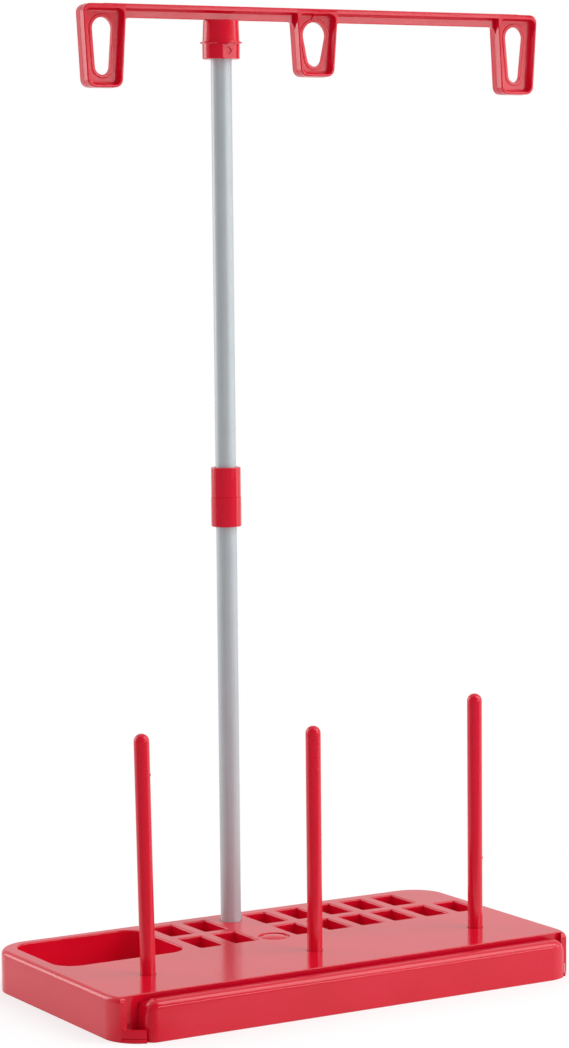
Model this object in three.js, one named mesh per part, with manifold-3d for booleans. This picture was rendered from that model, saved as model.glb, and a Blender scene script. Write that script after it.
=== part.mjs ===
// A knock-down stand for three thread spools: a flat base with a drawer, bobbin cells and a tray,
// three spool pins, a two-piece pole and a thread guide bar with three eyelets.
// Millimetres, +Z up. The origin is the centre of the base, on the surface that it stands on.
// +X runs along the base and -Y is the front, where the drawer opens.
import * as THREE from "three";
import { mergeVertices } from "three/addons/utils/BufferGeometryUtils.js";
import Module from "manifold-3d";

const wasm = await Module();
wasm.setup();

// Fits shared by all pieces
const seatGap = 0.3;
const socketClearance = 0.2;
const socketWall = 1.8;
const socketFloor = 1.6;

// Base shell
const baseLength = 240;
const baseWidth = 132;
const shellHeight = 19.5;
const cornerRadius = 17.5;
const edgeFillet = 2.4;
const shellWall = 2.5;
const deckThickness = 2.5;
const frontRecess = 7.9;
const deckSetback = 2.5;
const cornerSillTop = 5.7;
const cornerSillInset = 0.5;
const endWebThickness = 2;

// Bobbin cells, in rows behind the plain front deck, on both sides of a plain bay
const cellWidth = 12.1;
const cellDepth = 22;
const cellRib = 6;
const rowRib = 6.2;
const rowCount = 2;
const leftColumns = 2;
const bayWidth = 20.8;
const cellBackMargin = 8.6;
const cellEndMargin = 6.5;
const pocketWall = 1.5;
const pocketFloor = 1.6;

// Open tray left of the cells
const trayDepth = 53.3;
const trayBackMargin = 6.4;
const trayEndMargin = 7.9;
const trayToCells = 6.5;
const trayCornerRadius = 10;

// Bare round recess in the bay
const badgeRadius = 7.4;
const badgeDepth = 0.6;
const badgeInset = 2.7;
const badgeOffset = -0.4;

// Bottom plate and its screws
const plateThickness = 1.8;
const screwRadius = 1.4;
const screwLength = 9;
const screwHeadRadius = 2.7;
const screwHeadHeight = 1.3;
const screwHoleRadius = 1.7;
const screwBossRadius = 2.9;
const screwBossRib = 1.6;
const frontScrewMargin = 28;
const middleScrewMargin = 63;
const backScrewMargin = 18;

// Drawer
const drawerFrontLeftMargin = 12.3;
const drawerFrontRightMargin = 7;
const drawerFrontDrop = 1.5;
const drawerFrontFillet = 3.5;
const drawerFrontCorner = 6;
const drawerFrontEndRadius = 2;
const drawerFrontWall = 2;
const drawerSideGap = 4.2;
const drawerWall = 1.5;
const drawerHeadroom = 1.5;
const drawerRearGap = 0.8;
const drawerSlotGap = 0.6;

// Spool pins
const pinDiameter = 6.95;
const pinLength = 118.7;
const leftPinEndMargin = 34.2;
const middlePinOffset = 0.4;
const rightPinEndMargin = 31.6;
const pinFrontMargin = 40.8;
const pinFootChamfer = 0.6;
const leftPinLift = 4.25;
const rightPinLift = 7.4;
const leftPinLean = -0.9;

// Pole: two equal tubes that meet inside a coupler
const tubeDiameter = 9.7;
const tubeWall = 0.8;
const tubeLength = 216.5;
const poleBackMargin = 15.2;
const couplerDiameter = 14.2;
const couplerLength = 27.8;
const couplerStop = 1.2;
const couplerStopWidth = 1.4;

// Guide bar: a T-shaped bar that turns on the pole, with three eyelets hanging from it
const barSwivel = -5;
const barDroop = 0.25;
const barDepth = 9.5;
const barFlange = 2.3;
const barHeight = 6.2;
const barWeb = 2.2;
const hubRoof = 2.95;
const hubDepth = 17.85;
const hubTopDiameter = 16.5;
const hubCollarDiameter = 17.4;
const hubCollarHeight = 7.1;
const hubFlashDiameter = 19.4;
const hubFlashHeight = 0.8;
const eyeletSpacing = 107.5;
const barLeftLength = 59.8;
const eyeletWidth = 21.8;
const eyeletTaper = 2.2;
const eyeletRim = 2.2;
const eyeletCorner = 4;
const leftEyeletHeight = 38;
const leftHoleInset = 6.1;
const leftHoleHeight = 26;
const leftHoleWidth = 10.1;
const leftHoleFootWidth = 7.6;
const middleEyeletHeight = 31.5;
const middleHoleInset = 6;
const middleHoleHeight = 20.6;
const middleHoleWidth = 12.3;
const middleHoleFootWidth = 8;
const rightEyeletHeight = 38.3;
const rightHoleInset = 5.9;
const rightHoleHeight = 26.4;
const rightHoleWidth = 10.1;
const rightHoleFootWidth = 6.5;

// Facets
const roundSides = 32;
const screwSides = 16;
const cornerSteps = 8;
const filletSteps = 4;
const domeSteps = 5;
const overshoot = 1;

// Levels and places that follow from the sizes
const halfLength = baseLength / 2;
const halfWidth = baseWidth / 2;
const shellBottom = 0;
const deckTop = shellBottom + shellHeight;
const deckUnderside = deckTop - deckThickness;
const plateTop = shellBottom + plateThickness;
const innerBottom = plateTop + seatGap;
const frontPlane = -halfWidth + frontRecess;
const deckFront = frontPlane + deckSetback;
const pinY = -halfWidth + pinFrontMargin;
const poleY = halfWidth - poleBackMargin;
const pinRadius = pinDiameter / 2;
const tubeRadius = tubeDiameter / 2;
const pinBoreRadius = pinRadius + socketClearance;
const tubeBoreRadius = tubeRadius + socketClearance;
const socketFloorTop = innerBottom + socketFloor;
const lowerTubeBottom = socketFloorTop + seatGap;
const lowerTubeTop = lowerTubeBottom + tubeLength;
const couplerMiddle = lowerTubeTop + seatGap + couplerStop / 2;
const upperTubeBottom = couplerMiddle + couplerStop / 2 + seatGap;
const upperTubeTop = upperTubeBottom + tubeLength;
const hubTop = upperTubeTop + seatGap + hubRoof;
const hubBottom = hubTop - hubDepth;
const barTop = hubTop + barHeight;
const screwX = halfLength - shellWall - screwBossRadius - 2 * seatGap;
const drawerFrontLeft = -halfLength + drawerFrontLeftMargin;
const drawerFrontRight = halfLength - drawerFrontRightMargin;
const drawerFrontTop = deckTop - drawerFrontDrop;
const drawerFrontBack = frontPlane - seatGap;
const drawerSide = screwX - screwBossRadius - drawerSideGap;

// The three pins: their places along the base, and how high and how straight they stand
const pins = [
  {
    name: "spool_pin_left",
    x: -halfLength + leftPinEndMargin,
    lift: leftPinLift,
    lean: leftPinLean,
  },
  { name: "spool_pin_middle", x: middlePinOffset, lift: 0, lean: 0 },
  { name: "spool_pin_right", x: halfLength - rightPinEndMargin, lift: rightPinLift, lean: 0 },
];

// The three eyelets: their places along the bar, and their holes below its top
const eyelets = [
  {
    x: -barLeftLength,
    height: leftEyeletHeight,
    holeInset: leftHoleInset,
    holeHeight: leftHoleHeight,
    holeWidth: leftHoleWidth,
    holeFootWidth: leftHoleFootWidth,
  },
  {
    x: -barLeftLength + eyeletSpacing,
    height: middleEyeletHeight,
    holeInset: middleHoleInset,
    holeHeight: middleHoleHeight,
    holeWidth: middleHoleWidth,
    holeFootWidth: middleHoleFootWidth,
  },
  {
    x: -barLeftLength + 2 * eyeletSpacing,
    height: rightEyeletHeight,
    holeInset: rightHoleInset,
    holeHeight: rightHoleHeight,
    holeWidth: rightHoleWidth,
    holeFootWidth: rightHoleFootWidth,
  },
];

// Rows and columns of the cells, and the tray beside them
const cellPitch = cellWidth + cellRib;
const bayEdge = bayWidth / 2;
const cellBack = halfWidth - cellBackMargin;
const cellFront = cellBack - rowCount * cellDepth - (rowCount - 1) * rowRib;
const leftCellEdge = -bayEdge - leftColumns * cellPitch + cellRib;
const trayLeft = -halfLength + trayEndMargin;
const trayRight = leftCellEdge - trayToCells;
const trayBack = halfWidth - trayBackMargin;
const trayFront = trayBack - trayDepth;

function columnsThatFit(endMargin) {
  return Math.floor((halfLength - endMargin - bayEdge + cellRib) / cellPitch);
}

function cellPlaces() {
  const places = [];
  for (let row = 0; row < rowCount; row += 1) {
    const back = cellBack - row * (cellDepth + rowRib);
    const endMargin = row === 0 ? cornerRadius : cellEndMargin;
    for (let column = 0; column < leftColumns; column += 1) {
      places.push({ left: leftCellEdge + column * cellPitch, back });
    }
    for (let column = 0; column < columnsThatFit(endMargin); column += 1) {
      places.push({ left: bayEdge + column * cellPitch, back });
    }
  }
  return places;
}

// Solids from three.js geometry and back
function solidFrom(geometry) {
  const bare = geometry.clone();
  bare.deleteAttribute("normal");
  bare.deleteAttribute("uv");
  const merged = mergeVertices(bare, 1e-4);
  const corners = merged.index.array;
  const triVerts = [];
  for (let i = 0; i < corners.length; i += 3) {
    const [a, b, c] = corners.slice(i, i + 3);
    const isFlat = a === b || b === c || c === a;
    if (!isFlat) {
      triVerts.push(a, b, c);
    }
  }
  return new wasm.Manifold(new wasm.Mesh({
    numProp: 3,
    vertProperties: new Float32Array(merged.attributes.position.array),
    triVerts: new Uint32Array(triVerts),
  }));
}

function geometryFrom(solid) {
  const mesh = solid.getMesh();
  const geometry = new THREE.BufferGeometry();
  geometry.setAttribute("position", new THREE.Float32BufferAttribute(mesh.vertProperties, 3));
  geometry.setIndex(new THREE.Uint32BufferAttribute(mesh.triVerts, 1));
  geometry.computeVertexNormals();
  return geometry;
}

function joined(solids) {
  return solids.reduce((whole, solid) => whole.add(solid));
}

function cut(solid, cutters) {
  return cutters.reduce((rest, cutter) => rest.subtract(cutter), solid);
}

// A box between two corners
function block(x0, x1, y0, y1, z0, z1) {
  const geometry = new THREE.BoxGeometry(x1 - x0, y1 - y0, z1 - z0);
  geometry.translate((x0 + x1) / 2, (y0 + y1) / 2, (z0 + z1) / 2);
  return solidFrom(geometry);
}

// An upright cylinder, or a cone where the top radius is given
function post(x, y, radius, z0, z1, topRadius = radius, sides = roundSides) {
  const geometry = new THREE.CylinderGeometry(topRadius, radius, z1 - z0, sides);
  geometry.rotateX(Math.PI / 2);
  geometry.translate(x, y, (z0 + z1) / 2);
  return solidFrom(geometry);
}

// A small post for a screw, its hole or its boss
function screwPost(x, y, radius, z0, z1, topRadius = radius) {
  return post(x, y, radius, z0, z1, topRadius, screwSides);
}

// A body of revolution about the Z axis, from a profile of [radius, height] that runs upwards
function turned(profile) {
  const points = profile.map(([radius, height]) => new THREE.Vector2(radius, height));
  const geometry = new THREE.LatheGeometry(points, roundSides);
  geometry.rotateX(Math.PI / 2);
  return solidFrom(geometry);
}

// A plan outline pulled straight up
function raised(outline, z0, z1) {
  const geometry = new THREE.ExtrudeGeometry(outline, {
    depth: z1 - z0, bevelEnabled: false, curveSegments: cornerSteps,
  });
  geometry.translate(0, 0, z0);
  return solidFrom(geometry);
}

// An outline seen from the front, with its y as height, pulled from y0 back to y1
function pulledBack(outline, y0, y1) {
  const geometry = new THREE.ExtrudeGeometry(outline, {
    depth: y1 - y0, bevelEnabled: false, curveSegments: cornerSteps,
  });
  geometry.rotateX(Math.PI / 2);
  geometry.translate(0, y1, 0);
  return solidFrom(geometry);
}

// A rectangle with its four corners rounded
function roundedRectangle(x0, x1, y0, y1, radius) {
  const shape = new THREE.Shape();
  shape.absarc(x1 - radius, y1 - radius, radius, 0, Math.PI / 2);
  shape.absarc(x0 + radius, y1 - radius, radius, Math.PI / 2, Math.PI);
  shape.absarc(x0 + radius, y0 + radius, radius, Math.PI, 1.5 * Math.PI);
  shape.absarc(x1 - radius, y0 + radius, radius, 1.5 * Math.PI, 2 * Math.PI);
  return shape;
}

// The base's plan outline, drawn in from its edge by the inset
function basePlan(inset) {
  const x = halfLength - inset;
  const y = halfWidth - inset;
  return roundedRectangle(-x, x, -y, y, cornerRadius - inset);
}

// The base's plan as a slab whose top edge is rounded all round
function filletedSlab(top, fillet) {
  const geometry = new THREE.ExtrudeGeometry(basePlan(0), {
    depth: top - shellBottom,
    bevelEnabled: true,
    bevelThickness: fillet,
    bevelSize: fillet,
    bevelOffset: -fillet,
    bevelSegments: filletSteps,
    curveSegments: cornerSteps,
  });
  geometry.translate(0, 0, shellBottom - fillet);
  const under = block(-baseLength, baseLength, -baseWidth, baseWidth, -shellHeight, shellBottom);
  return solidFrom(geometry).subtract(under);
}

// A bar along X that ends at the front plane, with its top front edge rounded
function frontEdgeLimit() {
  const outline = new THREE.Shape();
  const back = halfWidth + overshoot;
  outline.moveTo(frontPlane, shellBottom - overshoot);
  outline.lineTo(back, shellBottom - overshoot);
  outline.lineTo(back, deckTop);
  outline.lineTo(frontPlane + edgeFillet, deckTop);
  outline.absarc(frontPlane + edgeFillet, deckTop - edgeFillet, edgeFillet, Math.PI / 2, Math.PI);
  const geometry = new THREE.ExtrudeGeometry(outline, {
    depth: baseLength + 2 * overshoot, bevelEnabled: false, curveSegments: cornerSteps,
  });
  geometry.rotateX(Math.PI / 2);
  geometry.rotateZ(Math.PI / 2);
  geometry.translate(-halfLength - overshoot, 0, 0);
  return solidFrom(geometry);
}

// The room of the drawer front: the deck ends a little behind the ends of the side walls
function frontRoom() {
  const inFront = block(
    -halfLength, halfLength, -halfWidth - overshoot, deckFront,
    shellBottom - 2 * overshoot, deckTop + 2 * overshoot,
  );
  return raised(basePlan(shellWall), shellBottom - overshoot, deckTop + overshoot)
    .intersect(inFront);
}

// Beside the drawer: a web under each end of the deck's edge, and a low sill round each front corner
function frontCorners() {
  const top = deckTop - overshoot;
  const wallX = halfLength - shellWall;
  const webX = drawerSide + seatGap;
  const webBack = deckFront + endWebThickness;
  const inside = raised(
    basePlan(shellWall), innerBottom - overshoot, cornerSillTop + overshoot,
  );
  const room = block(
    drawerFrontLeft - seatGap, drawerFrontRight + seatGap, -halfWidth - overshoot, halfWidth,
    innerBottom - overshoot, cornerSillTop + overshoot,
  );
  const ahead = block(
    -halfLength, halfLength, -halfWidth - overshoot, frontPlane + overshoot,
    innerBottom, cornerSillTop,
  );
  return [
    block(-wallX, -webX, deckFront, webBack, innerBottom, top),
    block(webX, wallX, deckFront, webBack, innerBottom, top),
    cut(
      raised(basePlan(cornerSillInset), innerBottom, cornerSillTop).intersect(ahead),
      [inside, room],
    ),
  ];
}

// Screws stand beside the drawer, in the bay and in the free rear corner
function screwPlaces() {
  const frontY = -halfWidth + frontScrewMargin;
  const middleY = -halfWidth + middleScrewMargin;
  const backCellEdge = bayEdge + columnsThatFit(cornerRadius) * cellPitch - cellRib;
  const freeCornerX = (backCellEdge + halfLength - shellWall) / 2;
  return [
    { name: "plate_screw_front_left", x: -screwX, y: frontY, wallSide: -1 },
    { name: "plate_screw_front_right", x: screwX, y: frontY, wallSide: 1 },
    { name: "plate_screw_middle_left", x: -screwX, y: middleY, wallSide: -1 },
    { name: "plate_screw_middle_right", x: screwX, y: middleY, wallSide: 1 },
    { name: "plate_screw_bay", x: 0, y: (cellFront + cellBack) / 2, wallSide: 0 },
    { name: "plate_screw_rear_right", x: freeCornerX, y: halfWidth - backScrewMargin, wallSide: 1 },
  ];
}

function screwBosses() {
  const bosses = [];
  for (const { x, y, wallSide } of screwPlaces()) {
    bosses.push(screwPost(x, y, screwBossRadius, innerBottom, deckTop - overshoot));
    if (wallSide !== 0) {
      const wallX = wallSide * (halfLength - shellWall / 2);
      const ribEnds = [Math.min(x, wallX), Math.max(x, wallX)];
      const halfRib = screwBossRib / 2;
      bosses.push(block(...ribEnds, y - halfRib, y + halfRib, innerBottom, deckTop - overshoot));
    }
  }
  return bosses;
}

function pocketBlocks() {
  const top = deckTop - overshoot;
  const blocks = cellPlaces().map(({ left, back }) => block(
    left - pocketWall, left + cellWidth + pocketWall,
    back - cellDepth - pocketWall, back + pocketWall, innerBottom, top,
  ));
  const tray = roundedRectangle(
    trayLeft - pocketWall, trayRight + pocketWall, trayFront - pocketWall, trayBack + pocketWall,
    trayCornerRadius + pocketWall,
  );
  blocks.push(raised(tray, innerBottom, top));
  return blocks;
}

function pocketCuts() {
  const floor = innerBottom + pocketFloor;
  const top = deckTop + overshoot;
  const cuts = cellPlaces().map(({ left, back }) => block(
    left, left + cellWidth, back - cellDepth, back, floor, top,
  ));
  const tray = roundedRectangle(trayLeft, trayRight, trayFront, trayBack, trayCornerRadius);
  cuts.push(raised(tray, floor, top));
  return cuts;
}

function baseShell() {
  const outside = filletedSlab(deckTop, edgeFillet).intersect(frontEdgeLimit());
  const cavity = raised(basePlan(shellWall), shellBottom - overshoot, deckUnderside);
  const bossTop = deckTop - overshoot;
  const sockets = pins.map(({ x }) => post(
    x, pinY, pinBoreRadius + socketWall, innerBottom, bossTop,
  ));
  sockets.push(post(0, poleY, tubeBoreRadius + socketWall, innerBottom, bossTop));
  const bores = pins.map(({ x }) => post(
    x, pinY, pinBoreRadius, socketFloorTop, deckTop + overshoot,
  ));
  bores.push(post(0, poleY, tubeBoreRadius, socketFloorTop, deckTop + overshoot));
  const badgeY = cellFront + badgeInset;
  const badge = post(
    badgeOffset, badgeY, badgeRadius, deckTop - badgeDepth, deckTop + overshoot,
  );
  const pilotHoles = screwPlaces().map(({ x, y }) => screwPost(
    x, y, screwRadius + seatGap / 2, innerBottom - overshoot, plateTop + screwLength,
  ));
  const hollowShell = outside.subtract(cavity);
  const filled = joined([
    hollowShell, ...frontCorners(), ...pocketBlocks(), ...sockets, ...screwBosses(),
  ]);
  return cut(filled, [frontRoom(), ...pocketCuts(), ...bores, badge, ...pilotHoles]);
}

// The plate fills the shell's underside and shows as a small tongue at each end of the drawer
function bottomPlate() {
  const tongueBack = frontPlane - seatGap;
  const inside = raised(basePlan(shellWall + seatGap), shellBottom, plateTop);
  const inFront = block(
    -halfLength, halfLength, -halfWidth - overshoot, frontPlane,
    shellBottom - overshoot, plateTop + overshoot,
  );
  const tongues = raised(basePlan(0), shellBottom, plateTop).intersect(block(
    -halfLength, halfLength, -halfWidth - overshoot, tongueBack,
    shellBottom - overshoot, plateTop + overshoot,
  ));
  const bridges = raised(basePlan(shellWall + seatGap), shellBottom, plateTop).intersect(block(
    -halfLength, halfLength, tongueBack - overshoot, frontPlane + overshoot,
    shellBottom - overshoot, plateTop + overshoot,
  ));
  const drawerSlot = block(
    drawerFrontLeft - seatGap, drawerFrontRight + seatGap, -halfWidth - overshoot, frontPlane,
    shellBottom - overshoot, plateTop + overshoot,
  );
  const whole = joined([inside.subtract(inFront), tongues, bridges]);
  const screwHoles = screwPlaces().map(({ x, y }) => joined([
    screwPost(x, y, screwHoleRadius, shellBottom - overshoot, plateTop + overshoot),
    screwPost(x, y, screwHeadRadius + seatGap, shellBottom - overshoot, shellBottom),
    screwPost(
      x, y, screwHeadRadius + seatGap, shellBottom, shellBottom + screwHeadHeight,
      screwHoleRadius,
    ),
  ]));
  return cut(whole, [drawerSlot, ...screwHoles]);
}

// A countersunk screw that stands on its head
function plateScrew() {
  const shank = screwPost(0, 0, screwRadius, screwHeadHeight - seatGap, screwLength);
  return screwPost(0, 0, screwHeadRadius, 0, screwHeadHeight, screwRadius).add(shank);
}

// The plan of the drawer front, drawn in from its edge by the inset
function drawerFrontPlan(inset) {
  return roundedRectangle(
    drawerFrontLeft + inset, drawerFrontRight - inset, -halfWidth + inset, halfWidth,
    drawerFrontEndRadius - inset,
  );
}

// The front of the drawer, seen from the front
function drawerFrontElevation() {
  const corner = drawerFrontCorner;
  const cornerZ = drawerFrontTop - corner;
  const elevation = new THREE.Shape();
  elevation.moveTo(drawerFrontLeft, shellBottom);
  elevation.lineTo(drawerFrontRight, shellBottom);
  elevation.absarc(drawerFrontRight - corner, cornerZ, corner, 0, Math.PI / 2);
  elevation.absarc(drawerFrontLeft + corner, cornerZ, corner, Math.PI / 2, Math.PI);
  return elevation;
}

// The drawer passes the pin sockets in slots that are open to the rear
function storageDrawer() {
  const frontTop = drawerFrontTop;
  const frontBack = drawerFrontBack;
  const floorTop = innerBottom + drawerWall;
  const trayTop = deckUnderside - drawerHeadroom;
  const rear = Math.min(trayFront, cellFront) - pocketWall - drawerRearGap;
  const innerX = drawerSide - drawerWall;

  const front = filletedSlab(frontTop, drawerFrontFillet)
    .intersect(raised(drawerFrontPlan(0), shellBottom, frontTop))
    .intersect(pulledBack(drawerFrontElevation(), -halfWidth - overshoot, frontBack));
  const hollowTop = frontTop - drawerFrontWall;
  const frontHollow = raised(basePlan(drawerFrontWall), floorTop, hollowTop)
    .intersect(raised(drawerFrontPlan(drawerFrontWall), floorTop, hollowTop))
    .intersect(block(
      -halfLength, halfLength, -halfWidth, frontBack + overshoot, floorTop, hollowTop,
    ));

  const tray = block(-drawerSide, drawerSide, frontBack - overshoot, rear, innerBottom, trayTop);
  const trayHollow = block(
    -innerX, innerX, frontBack - 2 * overshoot, rear - drawerWall, floorTop, deckTop,
  );
  const slotHalf = pinBoreRadius + socketWall + drawerSlotGap;
  const slotWalls = pins.map(({ x }) => block(
    x - slotHalf - drawerWall, x + slotHalf + drawerWall,
    pinY - slotHalf - drawerWall, rear, innerBottom, trayTop,
  ));
  const slots = pins.map(({ x }) => block(
    x - slotHalf, x + slotHalf,
    pinY - slotHalf, rear + overshoot, innerBottom - overshoot, deckTop,
  ));
  const openFront = front.subtract(frontHollow);
  const openTray = tray.subtract(trayHollow).subtract(frontHollow);
  return cut(joined([openFront, openTray, ...slotWalls]), slots);
}

function spoolPin() {
  const profile = [[0, 0], [pinRadius - pinFootChamfer, 0], [pinRadius, pinFootChamfer]];
  for (let step = 0; step <= domeSteps; step += 1) {
    const angle = (step / domeSteps) * (Math.PI / 2);
    const radius = step === domeSteps ? 0 : pinRadius * Math.cos(angle);
    profile.push([radius, pinLength - pinRadius + pinRadius * Math.sin(angle)]);
  }
  return turned(profile);
}

function poleTube() {
  const bore = post(0, 0, tubeRadius - tubeWall, -overshoot, tubeLength + overshoot);
  return post(0, 0, tubeRadius, 0, tubeLength).subtract(bore);
}

// The coupler holds a tube end in each half, against a stop ring at its middle
function poleCoupler() {
  const halfCoupler = couplerLength / 2;
  const stop = couplerStop / 2;
  const body = post(0, 0, couplerDiameter / 2, -halfCoupler, halfCoupler);
  const lowerBore = post(0, 0, tubeBoreRadius, -halfCoupler - overshoot, -stop);
  const upperBore = post(0, 0, tubeBoreRadius, stop, halfCoupler + overshoot);
  const stopBore = post(0, 0, tubeRadius - couplerStopWidth, -halfCoupler, halfCoupler);
  return cut(body, [lowerBore, upperBore, stopBore]);
}

// A four-sided outline whose corners are rounded by their own radius
function roundedQuad(corners) {
  const shape = new THREE.Shape();
  corners.forEach(({ x, y, radius }, index) => {
    const here = new THREE.Vector2(x, y);
    const before = corners[(index + corners.length - 1) % corners.length];
    const after = corners[(index + 1) % corners.length];
    const stepTo = (next) => new THREE.Vector2(next.x, next.y).sub(here).setLength(radius).add(here);
    const start = stepTo(before);
    const end = stepTo(after);
    if (index === 0) {
      shape.moveTo(start.x, start.y);
    } else {
      shape.lineTo(start.x, start.y);
    }
    if (radius > 0) {
      shape.quadraticCurveTo(x, y, end.x, end.y);
    }
  });
  return shape;
}

// An upright slot with round ends of different widths
function taperedSlot(x, top, height, topWidth, footWidth) {
  const topRadius = topWidth / 2;
  const footRadius = footWidth / 2;
  const topY = top - topRadius;
  const footY = top - height + footRadius;
  const lean = Math.asin((footRadius - topRadius) / (topY - footY));
  const shape = new THREE.Shape();
  shape.absarc(x, topY, topRadius, lean, Math.PI - lean);
  shape.absarc(x, footY, footRadius, Math.PI - lean, 2 * Math.PI + lean);
  return shape;
}

// One eyelet: a tapering frame as deep as the bar, round a thin web with a slot in it
function eyeletOutline(centre, height, inset, topInset, isFirst, isLast) {
  const topHalf = eyeletWidth / 2 - inset;
  const footHalf = topHalf - eyeletTaper;
  const top = barTop - topInset;
  const foot = barTop - height + inset;
  const outer = Math.max(eyeletCorner - inset, 0.5);
  const innerTop = inset > 0 ? outer : 0;
  return roundedQuad([
    { x: centre - topHalf, y: top, radius: isFirst ? outer : innerTop },
    { x: centre - footHalf, y: foot, radius: outer },
    { x: centre + footHalf, y: foot, radius: outer },
    { x: centre + topHalf, y: top, radius: isLast ? outer : innerTop },
  ]);
}

function hub() {
  const collarTop = hubBottom + hubCollarHeight;
  const collarRadius = hubCollarDiameter / 2;
  const topRadius = hubTopDiameter / 2;
  return turned([
    [0, hubBottom],
    [collarRadius, hubBottom],
    [collarRadius, collarTop],
    [hubFlashDiameter / 2, collarTop],
    [hubFlashDiameter / 2, collarTop + hubFlashHeight],
    [collarRadius, collarTop + hubFlashHeight],
    [topRadius, hubTop],
    [0, hubTop],
  ]);
}

function guideBar() {
  const halfDepth = barDepth / 2;
  const halfWeb = barWeb / 2;
  const barStart = eyelets[0].x;
  const barEnd = eyelets[eyelets.length - 1].x;
  const bodies = [
    block(barStart, barEnd, -halfDepth, halfDepth, barTop - barFlange, barTop),
    block(barStart, barEnd, -halfWeb, halfWeb, hubTop, barTop - barFlange / 2),
    block(-hubTopDiameter / 4, hubTopDiameter / 4, -halfWeb, halfWeb, hubTop - hubRoof / 2, barTop),
    hub(),
  ];
  const cuts = [post(0, 0, tubeBoreRadius, hubBottom - overshoot, hubTop - hubRoof)];
  eyelets.forEach((eyelet, index) => {
    const ends = [index === 0, index === eyelets.length - 1];
    const outside = eyeletOutline(eyelet.x, eyelet.height, 0, 0, ...ends);
    const inside = eyeletOutline(eyelet.x, eyelet.height, eyeletRim, barFlange, ...ends);
    const slot = taperedSlot(
      eyelet.x, barTop - eyelet.holeInset, eyelet.holeHeight, eyelet.holeWidth, eyelet.holeFootWidth,
    );
    bodies.push(pulledBack(outside, -halfDepth, halfDepth));
    cuts.push(pulledBack(inside, -halfDepth - overshoot, -halfWeb));
    cuts.push(pulledBack(inside, halfWeb, halfDepth + overshoot));
    cuts.push(pulledBack(slot, -barDepth, barDepth));
  });
  return cut(joined(bodies), cuts);
}

// Materials
const redPlastic = new THREE.MeshStandardMaterial({ color: 0xd2182c, roughness: 0.32, metalness: 0 });
const greyTube = new THREE.MeshStandardMaterial({ color: 0xc3ccd0, roughness: 0.42, metalness: 0.1 });
const zincSteel = new THREE.MeshStandardMaterial({ color: 0xa8abae, roughness: 0.35, metalness: 1 });

function piece(name, solid, material) {
  const mesh = new THREE.Mesh(geometryFrom(solid), material);
  mesh.name = name;
  return mesh;
}

const stand = new THREE.Group();
stand.add(piece("base_shell", baseShell(), redPlastic));
stand.add(piece("base_bottom_plate", bottomPlate(), redPlastic));
stand.add(piece("storage_drawer", storageDrawer(), redPlastic));

for (const { name, x, y } of screwPlaces()) {
  const screw = piece(name, plateScrew(), zincSteel);
  screw.position.set(x, y, shellBottom + seatGap / 2);
  stand.add(screw);
}

// Each pin is pushed to its own depth, and leans about the middle of its seat
for (const { name, x, lift, lean } of pins) {
  const foot = socketFloorTop + seatGap + lift;
  const seatMiddle = (foot + deckTop) / 2;
  const seat = new THREE.Group();
  seat.position.set(x, pinY, seatMiddle);
  seat.rotation.y = THREE.MathUtils.degToRad(lean);
  const pin = piece(name, spoolPin(), redPlastic);
  pin.position.z = foot - seatMiddle;
  seat.add(pin);
  stand.add(seat);
}

const pole = new THREE.Group();
pole.position.set(0, poleY, 0);
const lowerTube = piece("lower_pole_tube", poleTube(), greyTube);
lowerTube.position.z = lowerTubeBottom;
const coupler = piece("pole_coupler", poleCoupler(), redPlastic);
coupler.position.z = couplerMiddle;
const upperTube = piece("upper_pole_tube", poleTube(), greyTube);
upperTube.position.z = upperTubeBottom;

// The guide bar is turned on the pole, and its long end droops about the middle of its seat
const barSeat = (hubBottom + hubTop - hubRoof) / 2;
const bar = piece("thread_guide_bar", guideBar().translate(0, 0, -barSeat), redPlastic);
bar.position.z = barSeat;
const [droop, swivel] = [barDroop, barSwivel].map(THREE.MathUtils.degToRad);
bar.rotation.set(0, droop, swivel, "ZYX");
pole.add(lowerTube, coupler, upperTube, bar);
stand.add(pole);

export default stand;
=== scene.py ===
"""A knock-down thread spool stand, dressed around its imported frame.

Sizes are in millimetres and become metres when a piece is made. +Z is up, +X runs along the base,
-Y is the front, and the origin is the middle of the base on the surface that it stands on.
"""

import logging
import math
from collections.abc import Callable, Iterable, Sequence
from dataclasses import dataclass, field
from enum import Enum

import bmesh
import bpy
from mathutils import Matrix, Vector


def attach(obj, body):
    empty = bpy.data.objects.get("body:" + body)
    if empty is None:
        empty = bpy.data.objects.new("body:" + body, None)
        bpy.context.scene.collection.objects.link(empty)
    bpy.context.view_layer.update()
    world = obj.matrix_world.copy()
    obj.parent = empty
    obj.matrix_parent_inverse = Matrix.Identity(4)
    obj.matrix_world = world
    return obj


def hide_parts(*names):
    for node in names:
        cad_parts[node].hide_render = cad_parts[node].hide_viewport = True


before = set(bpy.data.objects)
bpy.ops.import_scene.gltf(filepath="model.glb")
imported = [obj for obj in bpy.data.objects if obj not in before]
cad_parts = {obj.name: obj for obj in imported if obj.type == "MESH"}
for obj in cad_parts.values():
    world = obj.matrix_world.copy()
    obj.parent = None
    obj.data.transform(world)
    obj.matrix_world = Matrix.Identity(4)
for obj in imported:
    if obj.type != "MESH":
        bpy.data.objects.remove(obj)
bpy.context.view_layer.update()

LOG = logging.getLogger("spool_stand")
METRES = 0.001
SMOOTH_ANGLE = math.radians(34)
SOLVER = "MANIFOLD"
REACH = 130.0
CUT_PAST = 0.06
LIP_TURN = 78.0
WHITE = (1.0, 1.0, 1.0, 1.0)

Point = tuple[float, float]
Triple = tuple[float, float, float]
Sides = tuple[float, float, float, float]
Outline = list[Point]
Profile = list[Point]
Tree = bpy.types.NodeTree
Socket = bpy.types.NodeSocket


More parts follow.
